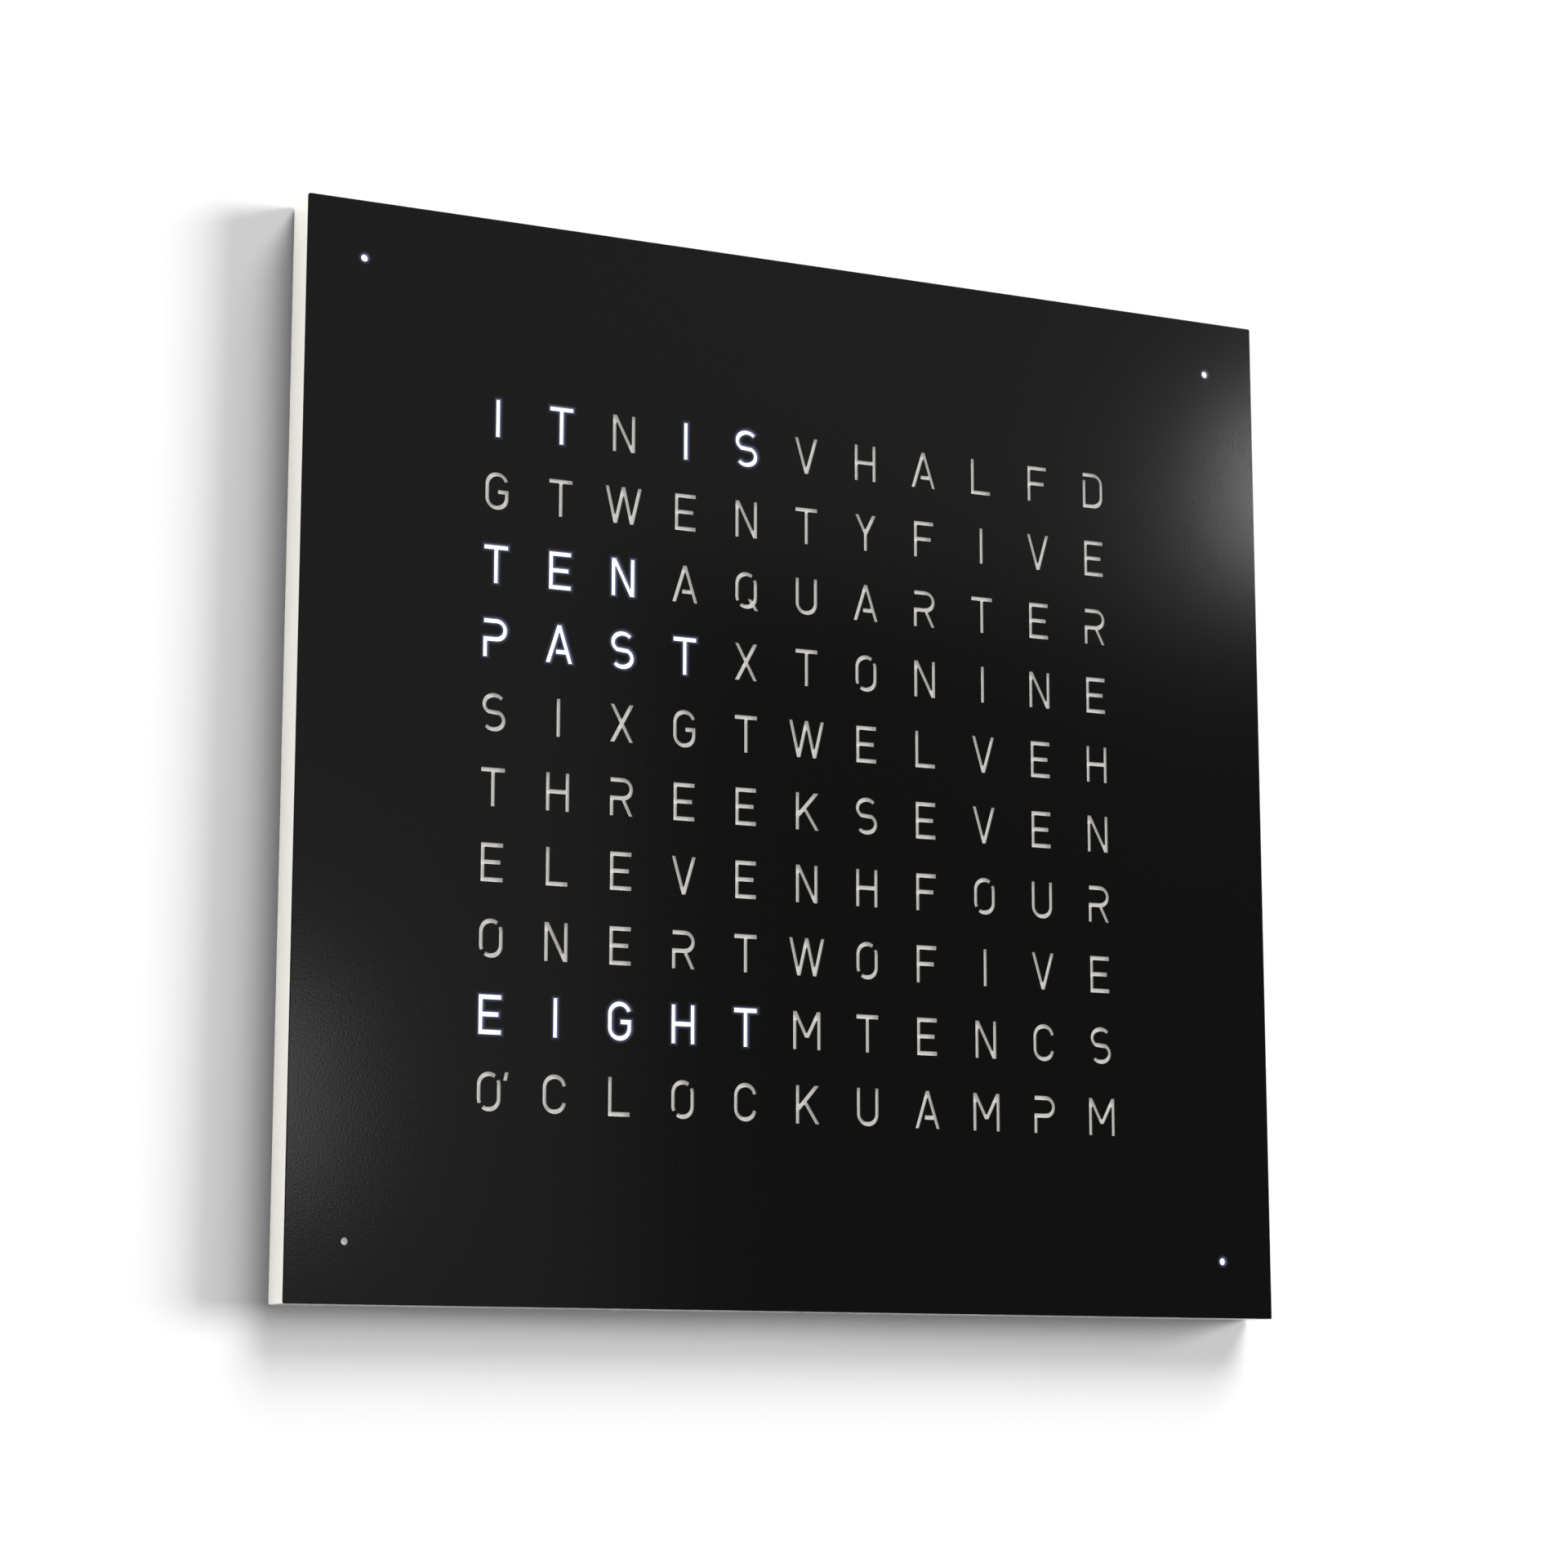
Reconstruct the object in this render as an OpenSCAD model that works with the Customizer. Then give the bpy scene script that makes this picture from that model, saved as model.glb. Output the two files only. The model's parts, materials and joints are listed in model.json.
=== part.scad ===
// Wall-hung word clock: a lacquered square housing behind a thin magnet-held front sheet.
// X runs to the right as the face is read, Y runs into the wall, Z is up, all in millimetres.
// The origin is the centre of the square, on the wall. The face looks along -Y.

/* [Letter field] */
// Letters in a row
columns = 11; // [10:1:12]
// Rows of letters
rows = 10; // [9:1:11]
// Distance between letters in a row
pitch_x = 28.24; // [26:0.01:32]
// Distance between rows
pitch_z = 31; // [28:0.05:34]
// Bare border beside the letters
margin_x = 69.68; // [62:0.01:80]
// Bare border over and under the letters
margin_z = 70; // [62:0.05:80]

/* [Body] */
// Depth of the lacquered housing
housing_d = 18; // [18:0.5:22]
// Rounding of the upright corners
corner_r = 0.8; // [0.4:0.1:2]
// Width of the rim that the front sheet lies on
rim_w = 15; // [14:0.5:18]
// Radius that the milling cutter leaves in pocket corners
cutter_r = 3; // [2:0.5:4]
// Play of a sheet or board in the pocket made for it
seat_gap = 0.3; // [0.2:0.05:0.5]

/* [Front sheet] */
// Thickness of the front sheet
cover_t = 1; // [0.8:0.1:1.5]
// Diameter of each minute dot
dot_d = 3; // [2:0.1:4]
// Distance of a minute dot from the two nearest edges
dot_inset = 24.5; // [23.5:0.1:26]
// Diameter of the pegs that carry the sheet
peg_d = 6; // [5:0.1:6.5]
// Length of a peg behind the sheet
peg_len = 6; // [4:0.5:8]
// Radial play of a peg in its bush
peg_play = 0.08; // [0.04:0.01:0.1]
// Wall of a peg bush
bush_wall = 1; // [0.8:0.1:1.5]
// Depth of a peg bush
bush_len = 8; // [8:0.5:10]

/* [Holding magnets] */
// Diameter of a magnet
magnet_d = 10; // [8:0.5:11]
// Thickness of a magnet
magnet_t = 3; // [2:0.5:4]
// Distance between the magnets along a side
magnet_pitch = 130; // [100:1:150]
// How far a magnet lies under the rim
magnet_sunk = 0.2; // [0.1:0.1:0.5]

/* [Diffuser] */
// Thickness of the diffuser sheet
diffuser_t = 1; // [0.8:0.1:1.5]
// Air between the diffuser and the front sheet
diffuser_air = 0.2; // [0.1:0.05:0.4]
// Distance of the diffuser's screws from the middle of a side
diffuser_screw_out = 140; // [120:1:150]
// Distance of the diffuser's screws from the edge of its sheet
diffuser_screw_in = 7; // [6:0.5:8]

/* [Light wells] */
// Depth of the light wells
well_d = 7.2; // [6.5:0.1:8]
// Wall between two wells at their mouths
well_wall = 1.6; // [1.2:0.1:2]
// Skin of a well, measured along the sheet
well_skin = 1.6; // [1.2:0.1:2]
// Width of the square window round a lamp
lamp_window = 9; // [8:0.5:12]
// Width of the groove's flat top behind a wall
groove_top = 1; // [0.6:0.1:2]
// Border round the field of wells
well_border = 2; // [1.5:0.1:3]
// Radius of a fixing ear
ear_r = 6; // [5:0.5:7]
// Thickness of a fixing ear
ear_t = 3; // [2:0.5:4]
// Distance of the ears from the middle of a side
ear_out = 100; // [95:1:110]
// Distance of an ear's hole from the border
ear_reach = 5.5; // [5:0.5:6.5]

/* [Lamps] */
// Thickness of a circuit board
board_t = 1.6; // [1.2:0.1:2]
// Gap between the two lamp boards
board_seam = 0.6; // [0.4:0.1:1.5]
// Width of one lamp
lamp_w = 5; // [3.5:0.1:6]
// Height of one lamp
lamp_h = 1.6; // [1:0.1:2.5]
// Diameter of the lens of a lamp
lamp_lens_d = 3.8; // [2.5:0.1:4.5]
// Depth of the hollow that the lens lies in
lens_sunk = 0.4; // [0.2:0.1:0.8]
// Outside diameter of the light tube behind a dot
tube_d = 14; // [12:0.5:15]
// Bore of the light tube behind a dot
tube_bore = 8; // [7.5:0.5:10]
// Width of the channel for the leads of a corner lamp
lead_channel_w = 5; // [4:0.5:6]
// Diameter of one lead
lead_d = 1.2; // [0.8:0.1:1.5]
// Distance between the two leads
lead_pitch = 1.6; // [1.5:0.1:2.2]
// Distance of the leads' start from the corner of the field
lead_start = 4; // [3:0.5:5]
// Bare end of a lead on the board
lead_bare = 2; // [1:0.5:3]

/* [Control bay] */
// Width of the control bay in the back
bay_w = 150; // [145:1:160]
// Height of the control bay
bay_h = 40; // [38:0.5:42]
// Air between the power socket and the service cover
bay_air = 0.5; // [0.2:0.1:1]
// Wood between the bay and the lamp pocket
bay_wall = 7.7; // [6:0.1:10]
// Thickness of the service cover
service_t = 1.5; // [1:0.1:2]
// Overlap of the service cover round the bay
service_lip = 5; // [4.5:0.5:5.5]
// Distance of the service cover's screws from its middle
service_screw_out = 65; // [60:1:70]
// Play of the control board in the bay, at its sides
control_play = 3; // [2:0.5:4]
// Space over the control board for the tongue of the lamp board
tongue_room = 7; // [6:0.5:8]
// Reach of the tongue into the bay
tongue_reach = 5; // [4.5:0.1:5.5]
// Height of the spacers under the control board
spacer_h = 2; // [1.5:0.1:3]
// Width of the notch for the ribbon
ribbon_notch_w = 32; // [28:1:40]
// Width of the ribbon
ribbon_w = 16; // [12:1:20]

/* [Setting buttons] */
// Diameter of a button
button_d = 5; // [4:0.1:6]
// Travel of a button
button_travel = 1; // [0.6:0.1:1.2]
// Distance between buttons
button_pitch = 20; // [16:0.5:24]
// Radial play of a button in its bore
button_play = 0.08; // [0.04:0.01:0.1]
// Diameter of the collar that keeps a button in
button_collar_d = 7; // [6.8:0.1:7.6]
// Thickness of the collar
button_collar_t = 1.5; // [1:0.1:2]
// Diameter of the dish round a button
button_dish_d = 9; // [8:0.5:12]
// Depth of the dish round a button
button_dish = 1; // [0.6:0.1:1.2]
// Diameter of the light pipe for the light sensor
pipe_d = 4; // [3:0.1:5]
// Width of the collar on the light pipe
pipe_collar = 1; // [0.6:0.1:1.5]
// Width and height of a push switch
switch_w = 6; // [5:0.1:7]
// Depth of a push switch
switch_d = 5.8; // [5:0.1:6]
// Length of a push switch
switch_l = 5; // [4:0.1:6]
// Diameter of a switch's plunger
plunger_d = 3; // [2:0.1:3.5]
// Length of a plunger outside its switch
plunger_out = 4.5; // [3.5:0.1:5]

/* [Parts on the boards] */
// Space between neighbours on the control board
part_gap = 1.2; // [0.6:0.1:2]
// Diameter of the coin cell
cell_d = 20; // [20:0.1:20.4]
// Thickness of the coin cell
cell_t = 3.2; // [2.5:0.1:3.2]
// Wall of the coin cell's holder
cell_wall = 1.3; // [1:0.1:2]
// Floor of the coin cell's holder
cell_floor = 1; // [0.6:0.1:1.5]
// Width of the finger gap in the holder
cell_gap_w = 8; // [6:0.5:10]
// Width of the crystal's can
crystal_w = 4.6; // [3:0.1:5]
// Length of the crystal's can
crystal_l = 11; // [8:0.5:12]
// Height of the crystal's can
crystal_h = 3.5; // [2.5:0.1:4]
// Width of the microcontroller
chip_w = 10; // [7:0.5:12]
// Height of a chip
chip_h = 1.4; // [1:0.1:1.8]
// Diameter of a smoothing capacitor
capacitor_d = 6.3; // [5:0.1:8]
// Height of a smoothing capacitor
capacitor_h = 5.8; // [5:0.1:6.4]
// Width of a lamp driver
driver_w = 5.4; // [4:0.1:6]
// Length of a lamp driver
driver_l = 10; // [7:0.1:12]
// Width of a link between the lamp boards
link_w = 7; // [5:0.1:8]
// Length of a link between the lamp boards
link_l = 11; // [8:0.1:12]
// Height of a link between the lamp boards
link_h = 2; // [1.2:0.1:2.4]
// Thickness of the ribbon
ribbon_t = 0.6; // [0.4:0.1:1]
// Height and depth of a ribbon plug
plug_l = 4; // [3:0.1:4.5]
// Width of the light sensor
sensor_w = 4; // [3:0.1:5]
// Height of the light sensor
sensor_h = 4.4; // [3.5:0.1:5]

/* [Power inlet] */
// Length of the recess for the plug
inlet_l = 54; // [45:1:56]
// Height of the recess for the plug
inlet_h = 24; // [18:1:26]
// Wall between the bay and the plug's recess
inlet_wall = 3; // [2:0.5:4]
// Diameter of the socket's bore
socket_bore = 5.7; // [5.5:0.1:6]
// Diameter of the socket's centre pin
socket_pin = 2; // [1.6:0.1:2.5]
// Depth of the socket's bore
socket_depth = 10; // [9:0.5:11]
// Width of the socket
socket_w = 9; // [8:0.1:10]
// Height of the socket
socket_body_h = 7.4; // [6.8:0.1:7.6]
// Length of the socket
socket_l = 13.5; // [12.5:0.1:15]
// How far the pin stops short of the socket's mouth
pin_short = 1.5; // [0.5:0.1:2.5]

/* [Hanging] */
// Distance between the two hangers
hanger_pitch = 300; // [280:1:320]
// Distance of the hangers from the top edge
hanger_inset = 40; // [35:1:48]
// Width of a hanger plate
hanger_w = 60; // [56:1:70]
// Height of a hanger plate
hanger_h = 26; // [25:1:28]
// Thickness of a hanger plate
hanger_t = 1.5; // [1:0.1:2]
// Diameter of the keyhole's mouth
keyhole_d = 9; // [8:0.1:10]
// Width of the keyhole's slot
keyhole_slot = 4.6; // [4:0.1:5]
// Rise of the slot over the mouth
keyhole_rise = 10; // [8:0.5:11]
// Distance of the keyhole's mouth under the middle of its plate
mouth_drop = 4.5; // [4:0.1:5.5]
// Distance of a hanger's screws from the ends of its plate
hanger_screw_in = 7; // [5:0.5:9]
// Width of the pocket behind a keyhole
hanger_pocket_w = 20; // [14:0.5:26]
// Height of the pocket behind a keyhole
hanger_pocket_h = 21; // [20:0.5:22]
// Depth of the pocket for the head of the wall screw
hanger_pocket_d = 6; // [5:0.5:7]
// Diameter of a wall pad
pad_d = 16; // [12:0.5:18]
// Thickness of a wall pad
pad_t = 2; // [1.5:0.1:3]
// How far a wall pad stands off the back
pad_proud = 1; // [0.6:0.1:1.5]
// Distance of a wall pad from the two nearest edges
pad_inset = 20; // [15:0.5:25]

/* [Screws] */
// Diameter of a screw's shank
screw_d = 3; // [2.5:0.1:3.5]
// Diameter of a countersunk head
screw_head_d = 5.6; // [5.4:0.1:6]
// Height of a head's flat rim
head_rim = 0.3; // [0.1:0.1:0.5]
// Play between a screw and its hole, on the diameter
screw_play = 0.1; // [0.05:0.05:0.3]
// Length of the screws in the grid's ears
grid_screw_len = 11; // [9:0.5:12]
// Length of the screws in the diffuser, the hangers and the service cover
sheet_screw_len = 9; // [7:0.5:10]
// Length of the screws in the control board
board_screw_len = 6.5; // [5:0.5:6.5]
// Height of a pan head on the control board
pan_h = 2; // [1.5:0.1:2.5]
// Width of the hexagon in a pan head
hexagon_d = 2.6; // [2:0.1:3]

/* [Hidden] */
$fn = 48;

cut = 1;                                     // how far a cutter runs past the face it opens
side = [-1, 1];

// Planes across the depth, from the wall to the face
y_back = -pad_proud;                         // back of the housing
y_rim = y_back - housing_d;                  // rim that the front sheet lies on
y_face = y_rim - cover_t;                    // front of the clock
y_rebate = y_rim + diffuser_air + diffuser_t;  // floor of the diffuser's rebate, mouths of the wells
y_board = y_rebate + well_d;                 // front of the lamp boards
y_floor = y_board + board_t;                 // floor of the lamp pocket
y_service = y_back - service_t;              // inside of the service cover
y_control = y_service - bay_air - socket_body_h;  // side of the control board with the parts
y_bay = y_control - board_t - spacer_h;      // floor of the control bay

// The face, the rebate for the diffuser and the pocket for the wells and lamps
field_w = columns * pitch_x;
field_h = rows * pitch_z;
face_w = field_w + 2 * margin_x;
face_h = field_h + 2 * margin_z;
rebate_w = face_w - 2 * rim_w;
rebate_h = face_h - 2 * rim_w;
block_w = field_w + 2 * well_border;
block_h = field_h + 2 * well_border;
pocket_w = block_w + 2 * seat_gap;
pocket_h = block_h + 2 * seat_gap;

// Places on the face
dot_x = face_w / 2 - dot_inset;
dot_z = face_h / 2 - dot_inset;
peg_x = (face_w - rim_w) / 2;
peg_z = (face_h - rim_w) / 2;
column_x = [for (i = [0:columns - 1]) (i - (columns - 1) / 2) * pitch_x];
row_z = [for (i = [0:rows - 1]) (i - (rows - 1) / 2) * pitch_z];

// Countersunk heads
head_h = (screw_head_d - screw_d) / 2 + head_rim;

// The control bay, under the lamp pocket
bay_top = -pocket_h / 2 - bay_wall;
bay_bottom = bay_top - bay_h;
bay_sill = bay_bottom + face_h / 2;
bay_z = (bay_bottom + bay_top) / 2;

// The buttons, each in line with its switch
button_y = y_control + switch_d / 2;
button_x = [-button_pitch, 0, button_pitch];
sensor_x = 2 * button_pitch;
collar_top = bay_bottom + button_collar_t;
plunger_reach = button_travel;
switch_bottom = collar_top + plunger_out;

// The control board and the places of its parts, from its left end
control_w = bay_w - 2 * control_play;
control_bottom = collar_top + button_travel + seat_gap;
control_top = bay_top - tongue_room;
control_h = control_top - control_bottom;
control_z = (control_bottom + control_top) / 2;
control_screw_x = bay_w / 2 + inlet_wall - socket_l - part_gap - screw_head_d / 2;
control_screw_in = screw_d + part_gap;
cell_x = -control_screw_x + screw_head_d / 2 + part_gap / 2 + cell_d / 2 + cell_wall;
crystal_x = cell_x + cell_d / 2 + cell_wall + part_gap + crystal_w / 2;
chip_x = crystal_x + crystal_w / 2 + part_gap + chip_w / 2;
capacitor_x = control_screw_x - screw_head_d / 2 - part_gap - capacitor_d / 2;
tongue_bottom = bay_top - tongue_reach;
tongue_w = ribbon_notch_w - 4 * seat_gap;
tongue_h = tongue_reach + bay_wall + seat_gap + cutter_r;
ribbon_y = y_floor + plug_l;
tongue_plug_z = tongue_bottom + plug_l / 2 + part_gap / 4;
control_plug_z = control_top - plug_l / 2 - part_gap;
pipe_top = control_bottom + seat_gap;

// The power inlet, at the right end of the bay
inlet_z = control_z;
inlet_x = bay_w / 2 + inlet_wall;
socket_y = y_control + socket_body_h / 2;
socket_pin_l = socket_depth - pin_short;

// The hangers
hanger_z = face_h / 2 - hanger_inset;
hanger_screw_out = hanger_w / 2 - hanger_screw_in;

// ---- shapes that repeat ----

module rounded_rect(w, h, r) {
    square([w - 2 * r, h], center = true);
    square([w, h - 2 * r], center = true);
    for (sx = side, sz = side) translate([sx * (w / 2 - r), sz * (h / 2 - r)]) circle(r);
}

// Extrudes a flat outline, drawn as the face is seen, from y0 back to y1
module thick(y0, y1) {
    translate([0, y1, 0]) rotate([90, 0, 0]) linear_extrude(y1 - y0) children();
}

module slab(w, h, y0, y1, r = 0) {
    thick(y0, y1) if (r > 0) rounded_rect(w, h, r); else square([w, h], center = true);
}

module disc(d, y0, y1) { translate([0, y1, 0]) rotate([90, 0, 0]) cylinder(d = d, h = y1 - y0); }

module at(x, z) { translate([x, 0, z]) children(); }

module corners(x, z) { for (sx = side, sz = side) at(sx * x, sz * z) children(); }

// Two places on each of the four sides
module side_pairs(x, z, out) {
    for (s = side, t = side) {
        at(t * out, s * z) children();
        at(s * x, t * out) children();
    }
}

// A countersunk screw driven along +Y, with its head's flat face at y = 0
module screw(length) {
    rotate([-90, 0, 0]) {
        cylinder(d = screw_d, h = length);
        cylinder(d1 = screw_head_d, d2 = screw_d, h = head_h);
    }
}

// The room for such a screw in what it goes through
module screw_room(length) {
    wide = screw_play / 2;
    rotate([-90, 0, 0]) {
        cylinder(d = screw_d + screw_play, h = length + wide);
        cylinder(r1 = screw_head_d / 2 + wide, r2 = screw_d / 2 + wide, h = head_h);
    }
    disc(screw_head_d + screw_play, -cut, 0);
}

module front_screw(y, length) { translate([0, y, 0]) screw(length); }
module front_screw_room(y, length) { translate([0, y, 0]) screw_room(length); }
module back_screw(y, length) { translate([0, y, 0]) rotate([0, 0, 180]) screw(length); }
module back_screw_room(y, length) { translate([0, y, 0]) rotate([0, 0, 180]) screw_room(length); }

// ---- housing ----

module ear_outline(grow) {
    circle(r = ear_r + grow);
    translate([0, ear_reach / 2]) square([2 * (ear_r + grow), ear_reach], center = true);
}

// Ears round the field of wells, each turned so that its neck points to the middle
module ears(y0, y1, grow) {
    for (t = side, s = side) {
        at(t * ear_out, s * (block_h / 2 + ear_reach))
            rotate([0, s > 0 ? 180 : 0, 0]) thick(y0, y1) ear_outline(grow);
        at(s * (block_w / 2 + ear_reach), t * ear_out)
            rotate([0, s * -90, 0]) thick(y0, y1) ear_outline(grow);
    }
}

module ear_places() {
    side_pairs(block_w / 2 + ear_reach, block_h / 2 + ear_reach, ear_out) children();
}

module diffuser_screw_places() {
    in = seat_gap + diffuser_screw_in;
    side_pairs(rebate_w / 2 - in, rebate_h / 2 - in, diffuser_screw_out) children();
}

module magnet_places() {
    for (t = [-1, 0, 1], s = side) {
        at(t * magnet_pitch, s * peg_z) children();
        at(s * peg_x, t * magnet_pitch) children();
    }
}

// The straight way from the corner of the lamp field to a corner lamp
lead_x = field_w / 2 - lead_start;
lead_z = field_h / 2 - lead_start;
lead_run = [dot_x - lead_x, dot_z - lead_z];
lead_len = norm(lead_run);
lead_turn = atan2(lead_run[1], lead_run[0]);

module lead_ways() {
    for (sx = side, sz = side)
        mirror([sx < 0 ? 1 : 0, 0, 0]) mirror([0, 0, sz < 0 ? 1 : 0])
            at(lead_x, lead_z) rotate([0, -lead_turn, 0]) children();
}

module lead_channel(y0, y1) {
    translate([0, y0, -lead_channel_w / 2]) cube([lead_len, y1 - y0, lead_channel_w]);
}

module hanger_places() { for (s = side) at(s * hanger_pitch / 2, hanger_z) children(); }

module keyhole(y0, y1) {
    at(0, -mouth_drop) disc(keyhole_d, y0, y1);
    at(0, -mouth_drop + keyhole_rise / 2) slab(keyhole_slot, keyhole_rise, y0, y1);
    at(0, -mouth_drop + keyhole_rise) disc(keyhole_slot, y0, y1);
}

module front_pockets() {
    slab(rebate_w, rebate_h, y_rim - cut, y_rebate, cutter_r);
    slab(pocket_w, pocket_h, y_rim - cut, y_floor, cutter_r);
    ears(y_rim - cut, y_rebate + ear_t, seat_gap);
    ear_places() front_screw_room(y_rebate, grid_screw_len);
    diffuser_screw_places() front_screw_room(y_rebate - diffuser_t, sheet_screw_len);
    corners(dot_x, dot_z) disc(tube_d + 2 * seat_gap, y_rim - cut, y_floor);
    lead_ways() lead_channel(y_rim, y_board);
    corners(peg_x, peg_z) disc(peg_d + 2 * (peg_play + bush_wall), y_rim - cut, y_rim + bush_len);
    magnet_places() disc(magnet_d + seat_gap, y_rim - cut, y_rim + magnet_sunk + magnet_t);
}

module back_pockets() {
    at(0, bay_z) {
        slab(bay_w, bay_h, y_bay, y_back + cut, cutter_r);
        slab(bay_w + 2 * service_lip, bay_h + 2 * service_lip, y_service, y_back + cut, cutter_r);
    }
    at(0, (bay_top - pocket_h / 2) / 2)
        slab(ribbon_notch_w, bay_wall + 2 * cutter_r, y_rim, y_floor + seat_gap);
    service_screw_places() back_screw_room(y_back, sheet_screw_len);
    control_screw_places()
        disc(screw_d + screw_play, y_control - board_screw_len - screw_play, y_bay + cut);
    at(inlet_x + inlet_l / 2, inlet_z) slab(inlet_l, inlet_h, y_bay, y_back + cut, cutter_r);
    at(bay_w / 2 + inlet_wall / 2, inlet_z)
        slab(inlet_wall + 2 * cutter_r, socket_w + seat_gap, y_control - seat_gap / 2, y_back + cut);
    hanger_places() {
        slab(hanger_w + seat_gap, hanger_h + seat_gap, y_back - hanger_t, y_back + cut, cutter_r);
        slab(hanger_pocket_w, hanger_pocket_h, y_back - hanger_t - hanger_pocket_d, y_back, cutter_r);
        for (s = side) at(s * hanger_screw_out, 0) back_screw_room(y_back, sheet_screw_len);
    }
    corners(face_w / 2 - pad_inset, face_h / 2 - pad_inset)
        disc(pad_d + seat_gap, y_back + pad_proud - pad_t, y_back + cut);
}

// Bores that run up through the sill from the bottom edge
module sill_bore(x, d) {
    translate([x, button_y, -face_h / 2 - cut]) cylinder(d = d, h = bay_sill + 2 * cut);
}

module sill_bores() {
    for (x = button_x) {
        sill_bore(x, button_d + 2 * button_play);
        translate([x, button_y, -face_h / 2 - cut]) cylinder(d = button_dish_d, h = cut + button_dish);
    }
    sill_bore(sensor_x, pipe_d + screw_play);
}

module housing() {
    color("ivory") difference() {
        slab(face_w, face_h, y_rim, y_back, corner_r);
        front_pockets();
        back_pockets();
        sill_bores();
    }
}

module housing_magnets() {
    color("silver") magnet_places() disc(magnet_d, y_rim + magnet_sunk, y_rim + magnet_sunk + magnet_t);
}

module peg_bushes() {
    color("goldenrod") corners(peg_x, peg_z) difference() {
        disc(peg_d + 2 * (peg_play + bush_wall), y_rim + magnet_sunk, y_rim + bush_len);
        disc(peg_d + 2 * peg_play, y_rim, y_rim + bush_len - bush_wall);
    }
}

// ---- front sheet ----

module front_cover() {
    color([0.09, 0.09, 0.09]) difference() {
        slab(face_w, face_h, y_face, y_rim, corner_r);
        corners(dot_x, dot_z) disc(dot_d, y_face - cut, y_rim + cut);
    }
}

module cover_pegs() { color("silver") corners(peg_x, peg_z) disc(peg_d, y_rim, y_rim + peg_len); }

// ---- diffuser ----

module diffuser_sheet() {
    color([0.85, 0.85, 0.83]) difference() {
        slab(rebate_w - 2 * seat_gap, rebate_h - 2 * seat_gap, y_rebate - diffuser_t, y_rebate,
            cutter_r);
        diffuser_screw_places() disc(screw_head_d + screw_play, y_rebate - diffuser_t - cut,
            y_rebate + cut);
    }
}

module diffuser_screws() {
    color("silver") diffuser_screw_places() front_screw(y_rebate - diffuser_t, sheet_screw_len);
}

// ---- light wells ----

// Half the width of a well at the depth y: widest at its mouth, narrowest at the board
function well_half(pitch, y) =
    let (mouth = (pitch - well_wall) / 2, foot = lamp_window / 2)
    mouth + (foot - mouth) * (y - y_rebate) / well_d;

// Half the width of the groove between two wells, and the depth at which it closes
function groove_half(pitch, y) = pitch / 2 - well_half(pitch, y) - well_skin;
function groove_start(pitch) =
    let (back = groove_half(pitch, y_board), slope = (back - groove_half(pitch, y_rebate)) / well_d)
    y_board - (back - groove_top / 2) / slope;

// A wedge-shaped channel that runs along X or along Z, with its half widths at two depths
module channel_along_z(half0, y0, half1, y1, run) {
    translate([0, 0, -run / 2]) linear_extrude(run)
        polygon([[-half0, y0], [half0, y0], [half1, y1], [-half1, y1]]);
}

module channel_along_x(half0, y0, half1, y1, run) {
    translate([-run / 2, 0, 0]) rotate([90, 0, 90]) linear_extrude(run)
        polygon([[y0, -half0], [y0, half0], [y1, half1], [y1, -half1]]);
}

// Where a channel down each column meets one along each row, a well with four sloping sides is left
module wells() {
    y0 = y_rebate - cut;
    y1 = y_board + cut;
    intersection() {
        union() for (x = column_x) at(x, 0)
            channel_along_z(well_half(pitch_x, y0), y0, well_half(pitch_x, y1), y1, field_h);
        union() for (z = row_z) at(0, z)
            channel_along_x(well_half(pitch_z, y0), y0, well_half(pitch_z, y1), y1, field_w);
    }
}

// Grooves from the back leave each well as a thin funnel
module grooves() {
    y1 = y_board + cut;
    gx = groove_start(pitch_x);
    gz = groove_start(pitch_z);
    intersection() {
        union() {
            for (i = [0:columns]) at((i - columns / 2) * pitch_x, 0)
                channel_along_z(groove_top / 2, gx, groove_half(pitch_x, y1), y1, field_h);
            for (i = [0:rows]) at(0, (i - rows / 2) * pitch_z)
                channel_along_x(groove_top / 2, gz, groove_half(pitch_z, y1), y1, field_w);
        }
        slab(field_w, field_h, y_rebate, y_board + 2 * cut);
    }
}

module light_well_grid() {
    color("white") difference() {
        union() {
            slab(block_w, block_h, y_rebate, y_board, cutter_r);
            ears(y_rebate, y_rebate + ear_t, 0);
        }
        wells();
        grooves();
        ear_places() front_screw_room(y_rebate, grid_screw_len);
        lead_ways() lead_channel(y_board - 2 * lead_d, y_board + cut);
    }
}

module grid_screws() { color("silver") ear_places() front_screw(y_rebate, grid_screw_len); }

// ---- lamps and their boards ----

module lamp_places() { for (x = column_x, z = row_z) at(x, z) children(); }

module lamp() {
    difference() {
        slab(lamp_w, lamp_w, y_board - lamp_h, y_board);
        disc(lamp_lens_d, y_board - lamp_h - cut, y_board - lamp_h + lens_sunk);
    }
}

module lamps() {
    color("lightyellow") {
        lamp_places() lamp();
        corners(dot_x, dot_z) lamp();
    }
}

// The seam between the boards lies under a wall between two rows
seam_z = rows % 2 * pitch_z / 2;

module lamp_board(z0, z1) {
    at(0, (z0 + z1) / 2) slab(block_w, z1 - z0, y_board, y_floor, cutter_r - seat_gap);
}

module lamp_board_upper() { color("darkgreen") lamp_board(seam_z + board_seam / 2, block_h / 2); }

module lamp_board_lower() {
    color("darkgreen") {
        lamp_board(-block_h / 2, seam_z - board_seam / 2);
        at(0, tongue_bottom + tongue_h / 2) slab(tongue_w, tongue_h, y_board, y_floor);
    }
}

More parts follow.
